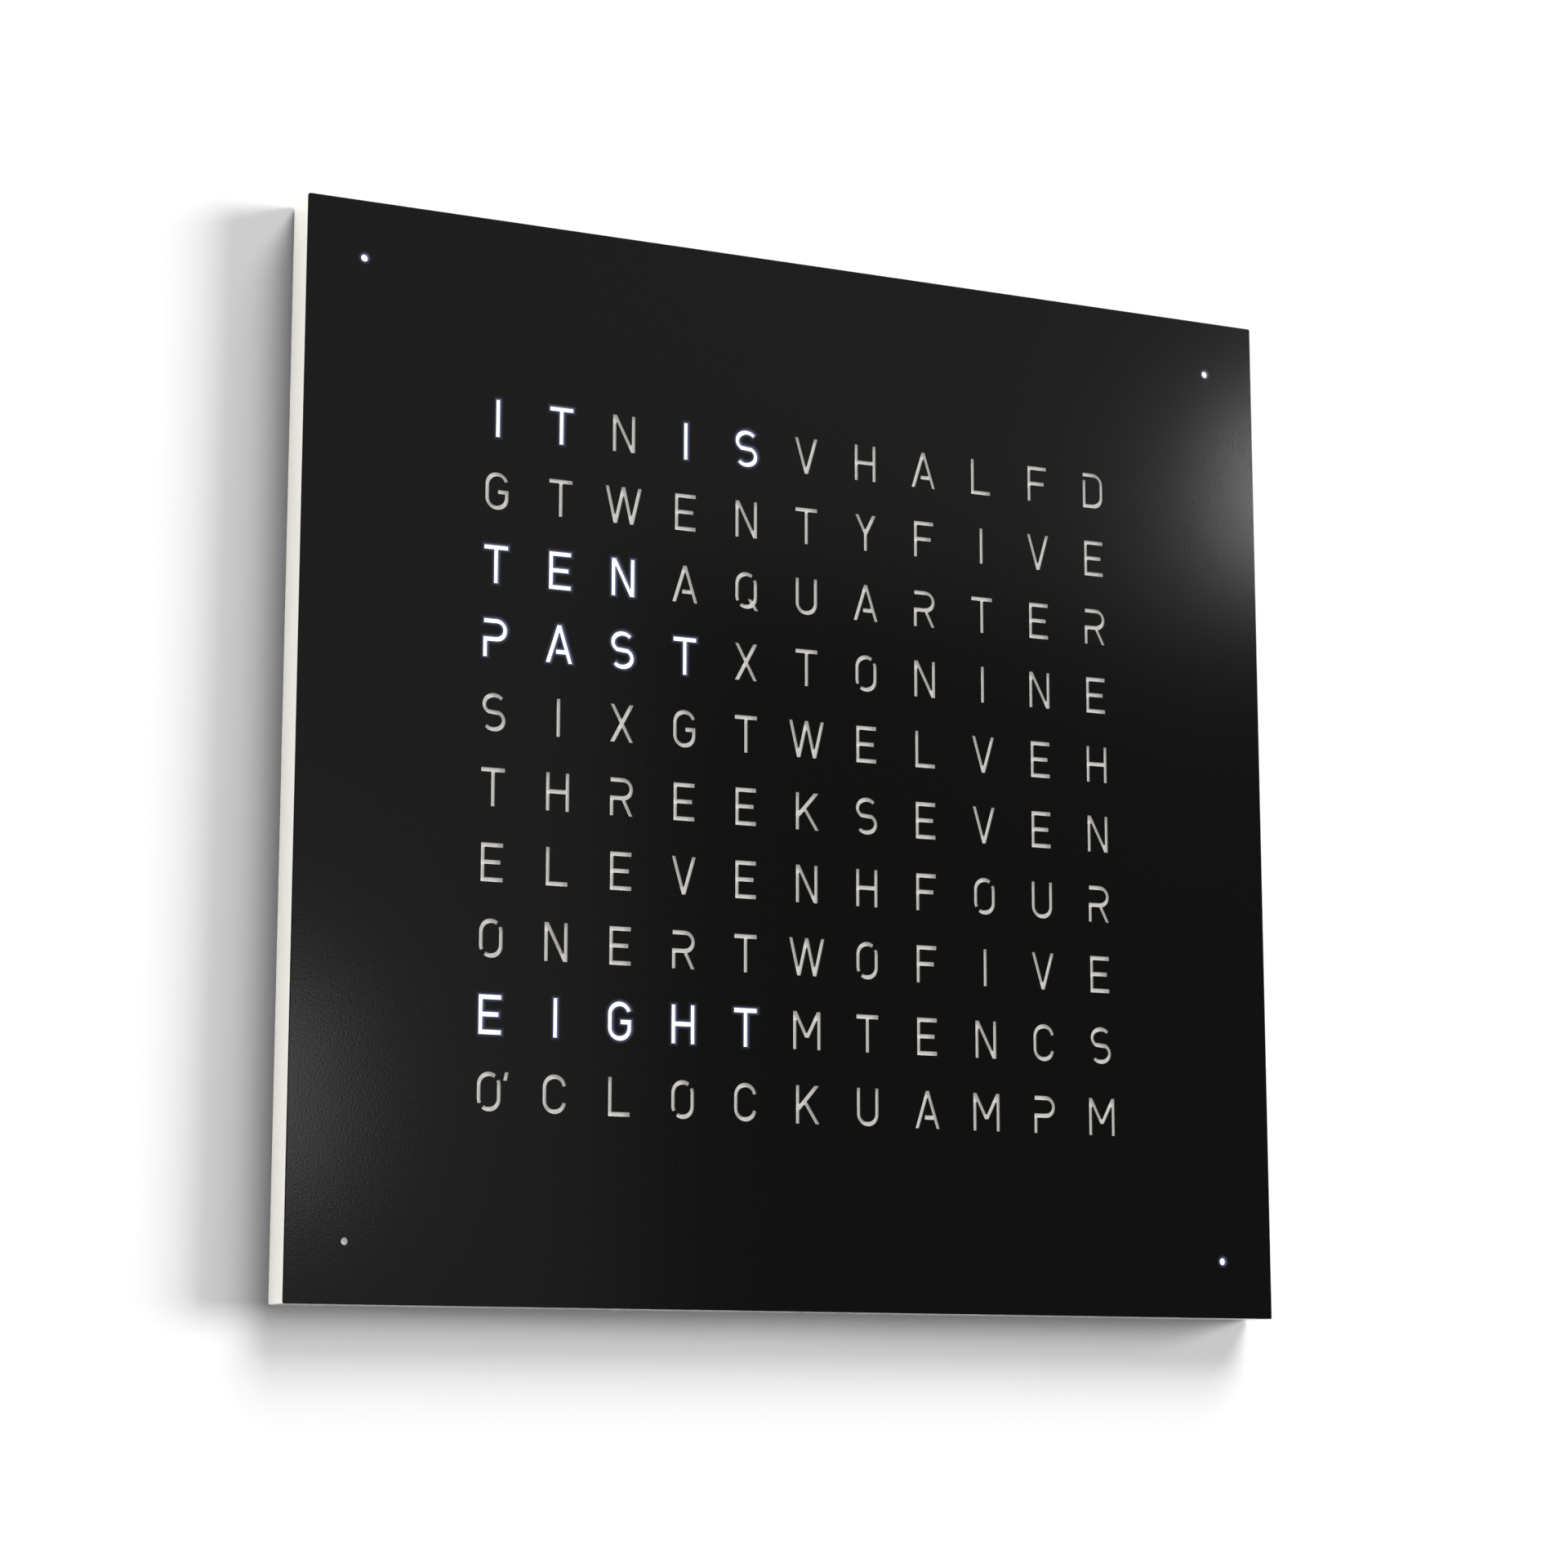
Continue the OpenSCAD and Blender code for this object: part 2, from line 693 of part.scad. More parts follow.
// Flat links over the seam, in the grooves between the wells
module board_links() {
    color("dimgray") for (i = [2, floor(columns / 2), columns - 2])
        at((i - columns / 2) * pitch_x, seam_z) slab(link_w, link_l, y_board - link_h, y_board);
}

module lamp_driver_chips() {
    color([0.15, 0.15, 0.16]) for (i = [2, columns - 2], j = [1, 3, rows - 3, rows - 1])
        at((i - columns / 2) * pitch_x, (j - rows / 2) * pitch_z)
            slab(driver_w, driver_l, y_board - chip_h, y_board);
}

module corner_lamp_boards() { color("darkgreen") corners(dot_x, dot_z) disc(tube_d, y_board, y_floor); }

module dot_light_tubes() {
    color("white") difference() {
        corners(dot_x, dot_z) difference() {
            disc(tube_d, y_rebate, y_board);
            disc(tube_bore, y_rebate - cut, y_board + cut);
        }
        lead_ways() lead_channel(y_board - 2 * lead_d, y_board + cut);
    }
}

module corner_leads() {
    color("crimson") lead_ways() for (s = side)
        translate([lead_bare, y_board - lead_d / 2, s * lead_pitch / 2])
            rotate([0, 90, 0]) cylinder(d = lead_d, h = lead_len - lead_bare - tube_bore / 2);
}

// ---- control bay ----

module control_screw_places() {
    for (s = side) {
        at(s * control_screw_x, control_bottom + control_screw_in) children();
        at(s * control_screw_x, control_top - control_screw_in) children();
    }
}

module control_board() {
    color("darkgreen") difference() {
        at(0, control_z) slab(control_w, control_h, y_bay + spacer_h, y_control, corner_r);
        control_screw_places() disc(screw_d + screw_play, y_bay, y_control + cut);
    }
}

module board_spacers() {
    color("white") control_screw_places() difference() {
        disc(2 * screw_d, y_bay, y_bay + spacer_h);
        disc(screw_d + screw_play, y_bay - cut, y_bay + spacer_h + cut);
    }
}

module control_board_screws() {
    color("silver") control_screw_places() {
        disc(screw_d, y_control - board_screw_len, y_control);
        difference() {
            disc(screw_head_d, y_control, y_control + pan_h);
            disc(hexagon_d, y_control + pan_h / 2, y_control + pan_h + cut, $fn = 6);
        }
    }
}

module microcontroller() {
    color([0.15, 0.15, 0.16]) at(chip_x, control_z) slab(chip_w, chip_w, y_control, y_control + chip_h);
}

module quartz_crystal() {
    straight = crystal_l - crystal_w;
    color("silver") at(crystal_x, control_z) {
        slab(crystal_w, straight, y_control, y_control + crystal_h);
        for (s = side) at(0, s * straight / 2) disc(crystal_w, y_control, y_control + crystal_h);
    }
}

// A ring with a floor, open at the top so that a finger can lift the cell out
module coin_cell_holder() {
    holder_h = cell_floor + 3 * cell_t / 4;
    color([0.2, 0.2, 0.22]) at(cell_x, control_z) difference() {
        disc(cell_d + 2 * cell_wall, y_control, y_control + holder_h);
        disc(cell_d + seat_gap, y_control + cell_floor, y_control + holder_h + cut);
        at(0, cell_d / 2) slab(cell_gap_w, cell_gap_w, y_control + cell_floor, y_control + holder_h + cut);
    }
}

// A can with its smaller lid upward
module coin_cell() {
    can_top = y_control + cell_floor + 4 * cell_t / 5;
    color("silver") at(cell_x, control_z) {
        disc(cell_d, y_control + cell_floor, can_top);
        disc(cell_d - 2 * part_gap, can_top, y_control + cell_floor + cell_t);
    }
}

module smoothing_capacitors() {
    color("silver") for (s = side)
        at(capacitor_x, control_z + s * (capacitor_d + part_gap) / 2)
            disc(capacitor_d, y_control, y_control + capacitor_h);
}

// The socket lies with its mouth at the wall of the plug's recess
module power_socket() {
    x0 = inlet_x - socket_l;
    color([0.12, 0.12, 0.13]) translate([0, socket_y, inlet_z]) {
        difference() {
            translate([x0, -socket_body_h / 2, -socket_w / 2]) cube([socket_l, socket_body_h, socket_w]);
            translate([inlet_x - socket_depth, 0, 0]) rotate([0, 90, 0])
                cylinder(d = socket_bore, h = socket_depth + cut);
        }
        translate([inlet_x - socket_depth - cut, 0, 0]) rotate([0, 90, 0])
            cylinder(d = socket_pin, h = socket_pin_l + cut);
    }
}

module switch_bodies() {
    color([0.2, 0.2, 0.22]) for (x = button_x) difference() {
        translate([x - switch_w / 2, button_y - switch_d / 2, switch_bottom])
            cube([switch_w, switch_d, switch_l]);
        translate([x, button_y, switch_bottom - cut])
            cylinder(d = plunger_d + 2 * button_play, h = cut + plunger_reach + button_travel + seat_gap);
    }
}

module light_sensor() {
    color("lightgray") translate([sensor_x - sensor_w / 2, y_control, pipe_top])
        cube([sensor_w, sensor_h, sensor_w]);
}

// A clear rod from the bottom edge to the sensor, kept in by its collar
module sensor_light_pipe() {
    color([0.9, 0.9, 0.88]) {
        translate([sensor_x, button_y, -face_h / 2 + seat_gap])
            cylinder(d = pipe_d, h = pipe_top + face_h / 2 - seat_gap);
        translate([sensor_x, button_y, bay_bottom])
            cylinder(d = pipe_d + 2 * pipe_collar, h = pipe_collar);
    }
}

// One plug on the tongue of the lamp board and one on the control board
module ribbon_plugs() {
    color([0.2, 0.2, 0.22]) {
        at(0, tongue_plug_z) slab(ribbon_w + 2 * part_gap, plug_l, y_floor, ribbon_y);
        at(0, control_plug_z) slab(ribbon_w + 2 * part_gap, plug_l, y_control, ribbon_y);
    }
}

module ribbon_cable() {
    run = tongue_plug_z - control_plug_z + plug_l;
    color("lightgray") at(0, (tongue_plug_z + control_plug_z) / 2)
        slab(ribbon_w, run, ribbon_y, ribbon_y + ribbon_t);
}

module service_screw_places() {
    out = bay_h / 2 + service_lip / 2;
    for (s = side, t = side) at(t * service_screw_out, bay_z + s * out) children();
}

module service_cover() {
    color([0.25, 0.25, 0.26]) difference() {
        at(0, bay_z) slab(bay_w + 2 * service_lip - 2 * seat_gap, bay_h + 2 * service_lip - 2 * seat_gap,
            y_service, y_back, cutter_r);
        service_screw_places() back_screw_room(y_back, sheet_screw_len);
    }
}

module service_cover_screws() {
    color("silver") service_screw_places() back_screw(y_back, sheet_screw_len);
}

// ---- hanging ----

module hanger_plates() {
    color("silver") hanger_places() difference() {
        slab(hanger_w, hanger_h, y_back - hanger_t, y_back, cutter_r);
        keyhole(y_back - hanger_t - cut, y_back + cut);
        for (s = side) at(s * hanger_screw_out, 0) back_screw_room(y_back, sheet_screw_len);
    }
}

module hanger_screws() {
    color("silver") hanger_places() for (s = side)
        at(s * hanger_screw_out, 0) back_screw(y_back, sheet_screw_len);
}

module wall_pads() {
    color([0.16, 0.16, 0.16]) corners(face_w / 2 - pad_inset, face_h / 2 - pad_inset)
        disc(pad_d, y_back + pad_proud - pad_t, y_back + pad_proud);
}

// ---- setting buttons ----

module button(x) {
    color("silver") {
        translate([x, button_y, -face_h / 2]) cylinder(d = button_d, h = bay_sill);
        translate([x, button_y, bay_bottom]) cylinder(d = button_collar_d, h = button_collar_t);
    }
}

module switch_plunger(x) {
    color("dimgray") translate([x, button_y, collar_top])
        cylinder(d = plunger_d, h = switch_bottom + plunger_reach - collar_top);
}

module mode_button() button(button_x[0]);
module minus_button() button(button_x[1]);
module plus_button() button(button_x[2]);
module mode_switch_plunger() switch_plunger(button_x[0]);
module minus_switch_plunger() switch_plunger(button_x[1]);
module plus_switch_plunger() switch_plunger(button_x[2]);

housing();
housing_magnets();
peg_bushes();
diffuser_sheet();
diffuser_screws();
light_well_grid();
grid_screws();
lamp_board_upper();
lamp_board_lower();
board_links();
lamp_driver_chips();
lamps();
corner_lamp_boards();
dot_light_tubes();
corner_leads();
control_board();
board_spacers();
control_board_screws();
microcontroller();
quartz_crystal();
coin_cell_holder();
coin_cell();
smoothing_capacitors();
power_socket();
switch_bodies();
light_sensor();
sensor_light_pipe();
ribbon_cable();
ribbon_plugs();
service_cover();
service_cover_screws();
hanger_plates();
hanger_screws();
wall_pads();
front_cover();
cover_pegs();
mode_button();
minus_button();
plus_button();
mode_switch_plunger();
minus_switch_plunger();
plus_switch_plunger();
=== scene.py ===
import json
import math

import bpy
from mathutils import Matrix, Vector, geometry

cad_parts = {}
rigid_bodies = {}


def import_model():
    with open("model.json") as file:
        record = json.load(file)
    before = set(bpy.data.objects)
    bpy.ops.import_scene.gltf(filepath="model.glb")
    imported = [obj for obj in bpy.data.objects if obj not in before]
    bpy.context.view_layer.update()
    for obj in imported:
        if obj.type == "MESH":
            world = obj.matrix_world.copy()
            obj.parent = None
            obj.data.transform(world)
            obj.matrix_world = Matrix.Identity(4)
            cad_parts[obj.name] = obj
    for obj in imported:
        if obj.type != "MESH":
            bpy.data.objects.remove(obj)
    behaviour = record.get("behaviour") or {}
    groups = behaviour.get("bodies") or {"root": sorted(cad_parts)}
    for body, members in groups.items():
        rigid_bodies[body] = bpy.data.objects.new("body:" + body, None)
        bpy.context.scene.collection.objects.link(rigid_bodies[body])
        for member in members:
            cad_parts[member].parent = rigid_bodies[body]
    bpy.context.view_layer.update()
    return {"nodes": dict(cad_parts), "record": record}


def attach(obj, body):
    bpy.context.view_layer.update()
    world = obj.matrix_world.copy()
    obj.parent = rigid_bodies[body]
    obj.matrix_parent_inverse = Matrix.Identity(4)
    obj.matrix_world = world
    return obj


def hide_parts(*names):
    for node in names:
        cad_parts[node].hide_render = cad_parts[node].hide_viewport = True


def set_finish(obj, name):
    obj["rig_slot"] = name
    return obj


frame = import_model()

nodes = frame["nodes"]
MM = 0.001

# ---- the letter field, in millimetres from the middle of the face ----

COLUMNS, ROWS = 11, 10
PITCH_X, PITCH_Z = 28.24, 31.0
FACE_HALF = 225.0
CORNER_R = 0.8
RIM_SOFT = 0.2          # rounding of the front sheet's edges
Y_FACE, Y_RIM = -20.0, -19.0
DOT_OUT = 200.5
DOT_R = 1.5
CAP = 16.0              # height of a letter
PEN = 1.8               # width of a stroke
ARC_STEP = 12.0         # degrees between the points of a round stroke
MITRE_LIMIT = 0.3       # keeps a sharp corner of a stroke from running out to a spike

FIELD = [
    "ITNISVHALFD",
    "GTWENTYFIVE",
    "TENAQUARTER",
    "PASTXTONINE",
    "SIXGTWELVEH",
    "THREEKSEVEN",
    "ELEVENHFOUR",
    "ONERTWOFIVE",
    "EIGHTMTENCS",
    "OCLOCKUAMPM",
]
APOSTROPHE_CELL = (9, 0)
LIT_CELLS = (
    [(0, c) for c in (0, 1, 3, 4)] + [(2, c) for c in (0, 1, 2)]
    + [(3, c) for c in (0, 1, 2, 3)] + [(8, c) for c in (0, 1, 2, 3, 4)]
)
LIT_DOTS = [(-1, 1), (1, 1), (1, -1)]
PAINTED_HALO_RINGS = (0.35, 0.8, 1.5)     # where the painted halo round a lit stroke is measured, in mm
PAINTED_HALO_FADE = 0.42


# ---- letters, each a few strokes of one pen ----

def arc(cx, cz, rx, rz, start, end):
    """Points on an arc, in degrees from the right, going from start to end."""
    steps = max(2, round(abs(end - start) / ARC_STEP))
    turn = [math.radians(start + (end - start) * i / steps) for i in range(steps + 1)]
    return [(cx + rx * math.cos(a), cz + rz * math.sin(a)) for a in turn]


def pen(points, grow=0.0):
    """The outline of a stroke along these points, with square ends and mitred corners."""
    half = PEN / 2 + grow
    left, right = [], []
    last = len(points) - 1
    for i, (x, z) in enumerate(points):
        before = Vector(points[i]) - Vector(points[i - 1]) if i else None
        after = Vector(points[i + 1]) - Vector(points[i]) if i < last else None
        a = (before or after).normalized()
        b = (after or before).normalized()
        side = Vector((-(a.y + b.y), a.x + b.x)).normalized()
        reach = half / max(MITRE_LIMIT, side.dot(Vector((-a.y, a.x))))
        x0, z0 = x, z
        if i == 0:
            x0, z0 = x - a.x * grow, z - a.y * grow
        if i == last:
            x0, z0 = x + b.x * grow, z + b.y * grow
        left.append((x0 + side.x * reach, z0 + side.y * reach))
        right.append((x0 - side.x * reach, z0 - side.y * reach))
    return left + right[::-1]


def bar(x0, z0, x1, z1, grow=0.0):
    """A slanted stroke whose two ends are cut level."""
    run = Vector((x1 - x0, z1 - z0))
    half = (PEN / 2 + grow) * run.length / abs(run.y)
    up = math.copysign(grow, z1 - z0)
    lean = run.x / run.y * up
    return [(x0 - lean - half, z0 - up), (x0 - lean + half, z0 - up),
            (x1 + lean + half, z1 + up), (x1 + lean - half, z1 + up)]


TOP = CAP / 2
EDGE = TOP - PEN / 2       # middle of a level stroke at the top of a letter
WIDE = 4.3                 # middle of a letter's side stroke
BEND = EDGE - WIDE         # where a round side starts to turn

BOWL = [(-5.0, EDGE)] + arc(0.6, EDGE - 3.8, 3.8, 3.8, 90, -90) + [(-WIDE, EDGE - 7.6)]
O_LEFT = arc(0, BEND, WIDE, WIDE, 52, 180) + arc(0, -BEND, WIDE, WIDE, 180, 206)
O_RIGHT = arc(0, -BEND, WIDE, WIDE, 232, 360) + arc(0, BEND, WIDE, WIDE, 0, 26)

LETTERS = {
    "A": [("bar", -5.0, -TOP, 0, TOP), ("bar", 5.0, -TOP, 0, TOP), ("pen", [(-1.5, -3.3), (3.4, -3.3)])],
    "C": [("pen", arc(0, BEND, WIDE, WIDE, 8, 180) + arc(0, -BEND, WIDE, WIDE, 180, 352))],
    "D": [("pen", [(-5.2, EDGE)] + arc(WIDE - 4.2, EDGE - 4.2, 4.2, 4.2, 90, 0)
           + arc(WIDE - 4.2, 4.2 - EDGE, 4.2, 4.2, 0, -90) + [(-WIDE, -EDGE), (-WIDE, EDGE - 2.4)])],
    "E": [("pen", [(4.9, EDGE), (-4.0, EDGE), (-4.0, -EDGE), (4.9, -EDGE)]),
          ("pen", [(-4.0, 0.1), (3.8, 0.1)])],
    "F": [("pen", [(4.9, EDGE), (-4.0, EDGE), (-4.0, -TOP)]), ("pen", [(-4.0, 0.1), (3.7, 0.1)])],
    "G": [("pen", arc(0, BEND, WIDE, WIDE, 18, 180) + arc(0, -BEND, WIDE, WIDE, 180, 360)
           + [(WIDE, -0.3), (0.3, -0.3)])],
    "H": [("pen", [(-WIDE, TOP), (-WIDE, -TOP)]), ("pen", [(WIDE, TOP), (WIDE, -TOP)]),
          ("pen", [(-WIDE, 0.1), (WIDE, 0.1)])],
    "I": [("pen", [(0, TOP), (0, -TOP)])],
    "K": [("pen", [(-WIDE, TOP), (-WIDE, -TOP)]),
          ("bar", 4.5, TOP, -WIDE, -2.2), ("bar", -1.1, 1.4, 4.9, -TOP)],
    "L": [("pen", [(-4.0, TOP), (-4.0, -EDGE), (4.9, -EDGE)])],
    "M": [("pen", [(-5.6, TOP), (-5.6, -TOP)]), ("pen", [(5.6, TOP), (5.6, -TOP)]),
          ("bar", -5.5, TOP, 0, -3.0), ("bar", 5.5, TOP, 0, -3.0)],
    "N": [("pen", [(-WIDE, TOP), (-WIDE, -TOP)]), ("pen", [(WIDE, TOP), (WIDE, -TOP)]),
          ("bar", -4.1, TOP, 4.1, -TOP)],
    "O": [("pen", O_LEFT), ("pen", O_RIGHT)],
    "P": [("pen", BOWL + [(-WIDE, -TOP)])],
    "Q": [("pen", O_LEFT), ("pen", O_RIGHT), ("bar", 1.5, -3.6, 4.9, -TOP - 0.6)],
    "R": [("pen", BOWL + [(-WIDE, -TOP)]), ("bar", 0.5, EDGE - 7.4, 4.3, -TOP)],
    "S": [("pen", arc(0, EDGE - 3.75, WIDE, 3.75, 38, 236) + arc(0, 3.75 - EDGE, WIDE, 3.75, 56, -142))],
    "T": [("pen", [(-5.3, EDGE), (5.3, EDGE)]), ("pen", [(0, EDGE), (0, -TOP)])],
    "U": [("pen", [(-WIDE, TOP)] + arc(0, -BEND, WIDE, WIDE, 180, 360) + [(WIDE, TOP)])],
    "V": [("bar", -4.6, TOP, 0, -TOP), ("bar", 4.6, TOP, 0, -TOP)],
    "W": [("bar", -7.4, TOP, -3.7, -TOP), ("bar", 0, TOP, -3.7, -TOP), ("bar", 0, TOP, 3.7, -TOP),
          ("bar", 7.4, TOP, 3.7, -TOP)],
    "X": [("bar", -4.3, TOP, 4.3, -TOP), ("bar", 4.3, TOP, -4.3, -TOP)],
    "Y": [("bar", -4.1, TOP, 0, -0.4), ("bar", 4.1, TOP, 0, -0.4),
          ("pen", [(0, 0.2), (0, -TOP)])],
    "'": [("bar", 7.6, TOP, 6.9, TOP - 3.4)],
}


def cell_centre(row, column):
    return ((column - (COLUMNS - 1) / 2) * PITCH_X, ((ROWS - 1) / 2 - row) * PITCH_Z)


def strokes(grow=0.0, only=None):
    """The outlines of all strokes on the face, or of those in the cells named."""
    shapes = []
    for row in range(ROWS):
        for column in range(COLUMNS):
            if only is not None and (row, column) not in only:
                continue
            marks = LETTERS[FIELD[row][column]]
            if (row, column) == APOSTROPHE_CELL:
                marks = marks + LETTERS["'"]
            cx, cz = cell_centre(row, column)
            for kind, *what in marks:
                outline = pen(what[0], grow) if kind == "pen" else bar(*what, grow)
                shapes.append([(x + cx, z + cz) for x, z in outline])
    return shapes


def circle(cx, cz, radius, sides=32):
    turn = [2 * math.pi * i / sides for i in range(sides)]
    return [(cx + radius * math.cos(a), cz + radius * math.sin(a)) for a in turn]


def rounded_square(half, radius, steps=6):
    points = []
    for corner, (sx, sz) in enumerate(((1, 1), (-1, 1), (-1, -1), (1, -1))):
        for i in range(steps + 1):
            a = math.radians(90 * (corner + i / steps))
            points.append((sx * (half - radius) + radius * math.cos(a),
                           sz * (half - radius) + radius * math.sin(a)))
    return points


# ---- flat sheets with openings ----

SAME_POINT = 1e-5       # in mm


def turned_left(shape):
    """The outline with its points in the order that has the inside on the left."""
    area = sum(a[0] * b[1] - b[0] * a[1] for a, b in zip(shape, shape[1:] + shape[:1]))
    return shape if area > 0 else shape[::-1]


def flat_sheet(name, half, corner_r, soft, y0, y1, openings, lines):
    """A square sheet from y0 back to y1, with these openings cut through it and its outer edges
    rounded by soft. Lines are outlines that only divide its faces. Returns the object."""
    outline = rounded_square(half - soft, corner_r - soft)
    points, loops = [], []
    for shape in map(turned_left, [outline] + openings + lines):
        loops.append(list(range(len(points), len(points) + len(shape))))
        points += [Vector(p) for p in shape]
    flat, _, faces, _, _, owners = geometry.delaunay_2d_cdt(points, [], loops, 1, SAME_POINT)
    cuts = set(range(1, 1 + len(openings)))
    front = []
    for face, own in zip(faces, owners):
        if own and not cuts.intersection(own):
            a, b, c = (flat[i] for i in face[:3])
            turned = (b - a).cross(c - a) > 0
            front.append(tuple(face) if turned else tuple(reversed(face)))
    n = len(flat)
    verts = [(p.x, y0, p.y) for p in flat] + [(p.x, y1, p.y) for p in flat]
    solid = front + [tuple(i + n for i in reversed(f)) for f in front]
    directed = {(f[i], f[(i + 1) % len(f)]) for f in front for i in range(len(f))}
    rim = {}
    inner = half - corner_r

    def rim_vertices(i):
        if i not in rim:
            p = flat[i]
            core = Vector((max(-inner, min(inner, p.x)), max(-inner, min(inner, p.y))))
            q = p + (p - core).normalized() * soft
            rim[i] = len(verts)
            verts.extend([(q.x, y0 + soft, q.y), (q.x, y1 - soft, q.y)])
        return rim[i]

    edge_of_sheet = half - soft - 0.5 * corner_r
    for a, b in directed:
        if (b, a) in directed:
            continue
        middle = (flat[a] + flat[b]) / 2
        if max(abs(middle.x), abs(middle.y)) > edge_of_sheet:
            i, j = rim_vertices(a), rim_vertices(b)
            solid += [(b, a, i, j), (j, i, i + 1, j + 1), (j + 1, i + 1, a + n, b + n)]
        else:
            solid.append((b, a, a + n, b + n))
    mesh = bpy.data.meshes.new(name)
    mesh.from_pydata([Vector(v) * MM for v in verts], [], solid)
    mesh.validate()
    sheet = bpy.data.objects.new(name, mesh)
    bpy.context.scene.collection.objects.link(sheet)
    return sheet


def point_attribute(piece, name, value_at):
    """Writes value_at(x, y, z) in millimetres to each vertex."""
    attribute = piece.data.attributes.new(name, "FLOAT", "POINT")
    for vertex, slot in zip(piece.data.vertices, attribute.data):
        slot.value = value_at(*(vertex.co / MM))


def distance_to_outline(x, z, outline):
    """Distance from a point to an outline, nothing inside it."""
    point = Vector((x, z))
    inside = False
    nearest = 1e9
    for i, b in enumerate(outline):
        a = outline[i - 1]
        if (a[1] > z) != (b[1] > z) and x < (b[0] - a[0]) * (z - a[1]) / (b[1] - a[1]) + a[0]:
            inside = not inside
        start, run = Vector(a), Vector(b) - Vector(a)
        share = max(0.0, min(1.0, (point - start).dot(run) / max(run.length_squared, 1e-12)))
        nearest = min(nearest, (point - start - run * share).length)
    return 0.0 if inside else nearest


def front_sheet():
    letters = strokes()
    dots = [circle(sx * DOT_OUT, sz * DOT_OUT, DOT_R) for sx in (-1, 1) for sz in (-1, 1)]
    lit_dots = [(sx * DOT_OUT, sz * DOT_OUT) for sx, sz in LIT_DOTS]
    rings = []
    for grow in PAINTED_HALO_RINGS:
        rings += strokes(grow, LIT_CELLS) + [circle(x, z, DOT_R + grow) for x, z in lit_dots]
    sheet = flat_sheet("stencil_front_sheet", FACE_HALF, CORNER_R, RIM_SOFT, Y_FACE, Y_RIM,
                       letters + dots, rings)
    lit = {cell: strokes(0.0, [cell]) for cell in LIT_CELLS}

    # Painted halo: how much light is painted on to the coat at a point, fading away from the nearest lit
    # stroke or dot
    def painted_halo(x, y, z):
        column = round(x / PITCH_X + (COLUMNS - 1) / 2)
        row = round((ROWS - 1) / 2 - z / PITCH_Z)
        shapes = lit.get((row, column), [])
        away = [distance_to_outline(x, z, s) for s in shapes]
        away += [max(0.0, math.hypot(x - dx, z - dz) - DOT_R) for dx, dz in lit_dots]
        near = min(away)
        return 0.0 if near >= PAINTED_HALO_RINGS[-1] - 0.01 else math.exp(-near / PAINTED_HALO_FADE)

    point_attribute(sheet, "painted_halo", painted_halo)
    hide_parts("front_cover")
    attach(sheet, "front")
    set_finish(sheet, "black_powder_coat")
    return sheet


# ---- diffuser ----

SHEET_HALF = 209.7
SHEET_CORNER = 3.0
SHEET_SOFT = 0.1
Y_SHEET, Y_SHEET_BACK = -18.8, -17.8
SCREW_OUT, SCREW_EDGE = 140.0, 202.7
SCREW_HOLE_R = 2.85
LAMP_POOL_R = 4.0       # bore of the tube behind a minute dot


def diffuser():
    holes = []
    for s in (-1, 1):
        for t in (-1, 1):
            holes += [circle(t * SCREW_OUT, s * SCREW_EDGE, SCREW_HOLE_R),
                      circle(s * SCREW_EDGE, t * SCREW_OUT, SCREW_HOLE_R)]
    cells = []
    for row, column in LIT_CELLS:
        x, z = cell_centre(row, column)
        w, h = PITCH_X / 2, PITCH_Z / 2
        cells.append([(x - w, z - h), (x + w, z - h), (x + w, z + h), (x - w, z + h)])
    pools = [circle(sx * DOT_OUT, sz * DOT_OUT, LAMP_POOL_R) for sx, sz in LIT_DOTS]
    sheet = flat_sheet("opal_diffuser", SHEET_HALF, SHEET_CORNER, SHEET_SOFT, Y_SHEET, Y_SHEET_BACK, holes,
                       cells + pools)
    lit = sheet.data.attributes.new("lit", "FLOAT", "FACE")
    for face, slot in zip(sheet.data.polygons, lit.data):
        x, _, z = face.center / MM
        column = round(x / PITCH_X + (COLUMNS - 1) / 2)
        row = round((ROWS - 1) / 2 - z / PITCH_Z)
        in_pool = any(math.hypot(x - sx * DOT_OUT, z - sz * DOT_OUT) < LAMP_POOL_R
                      for sx, sz in LIT_DOTS)
        slot.value = float(in_pool or (row, column) in LIT_CELLS)
    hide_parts("diffuser_sheet")
    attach(sheet, "casing")
    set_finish(sheet, "opal_acrylic")
    return sheet


# ---- modelling by hand ----

def alone(piece):
    bpy.ops.object.select_all(action="DESELECT")
    piece.select_set(True)
    bpy.context.view_layer.objects.active = piece


def settle(name=None):
    """Puts the place, turn and size of the active piece into its mesh, and names it. Returns it."""
    piece = bpy.context.object
    alone(piece)
    bpy.ops.object.transform_apply(location=True, rotation=True, scale=True)
    if name:
        piece.name = piece.data.name = name
    return piece


def rod(radius, start, end, along="Y", x=0.0, y=0.0, z=0.0, sides=48):
    """A round bar along Y or Z, in millimetres, to be shaped."""
    bpy.ops.object.select_all(action="DESELECT")
    middle = (start + end) / 2
    place = (x, middle, z) if along == "Y" else (x, y, middle)
    turn = (math.radians(-90), 0, 0) if along == "Y" else (0, 0, 0)
    bpy.ops.mesh.primitive_cylinder_add(vertices=sides, radius=radius * MM, depth=(end - start) * MM,
                                        location=Vector(place) * MM, rotation=turn)
    return settle()


def block(width, height, y0, y1, x=0.0, z=0.0):
    """A block from y0 back to y1, in millimetres, to be shaped."""
    bpy.ops.object.select_all(action="DESELECT")
    bpy.ops.mesh.primitive_cube_add(size=1, location=(x * MM, (y0 + y1) / 2 * MM, z * MM))
    bpy.context.object.scale = (width * MM, (y1 - y0) * MM, height * MM)
    return settle()


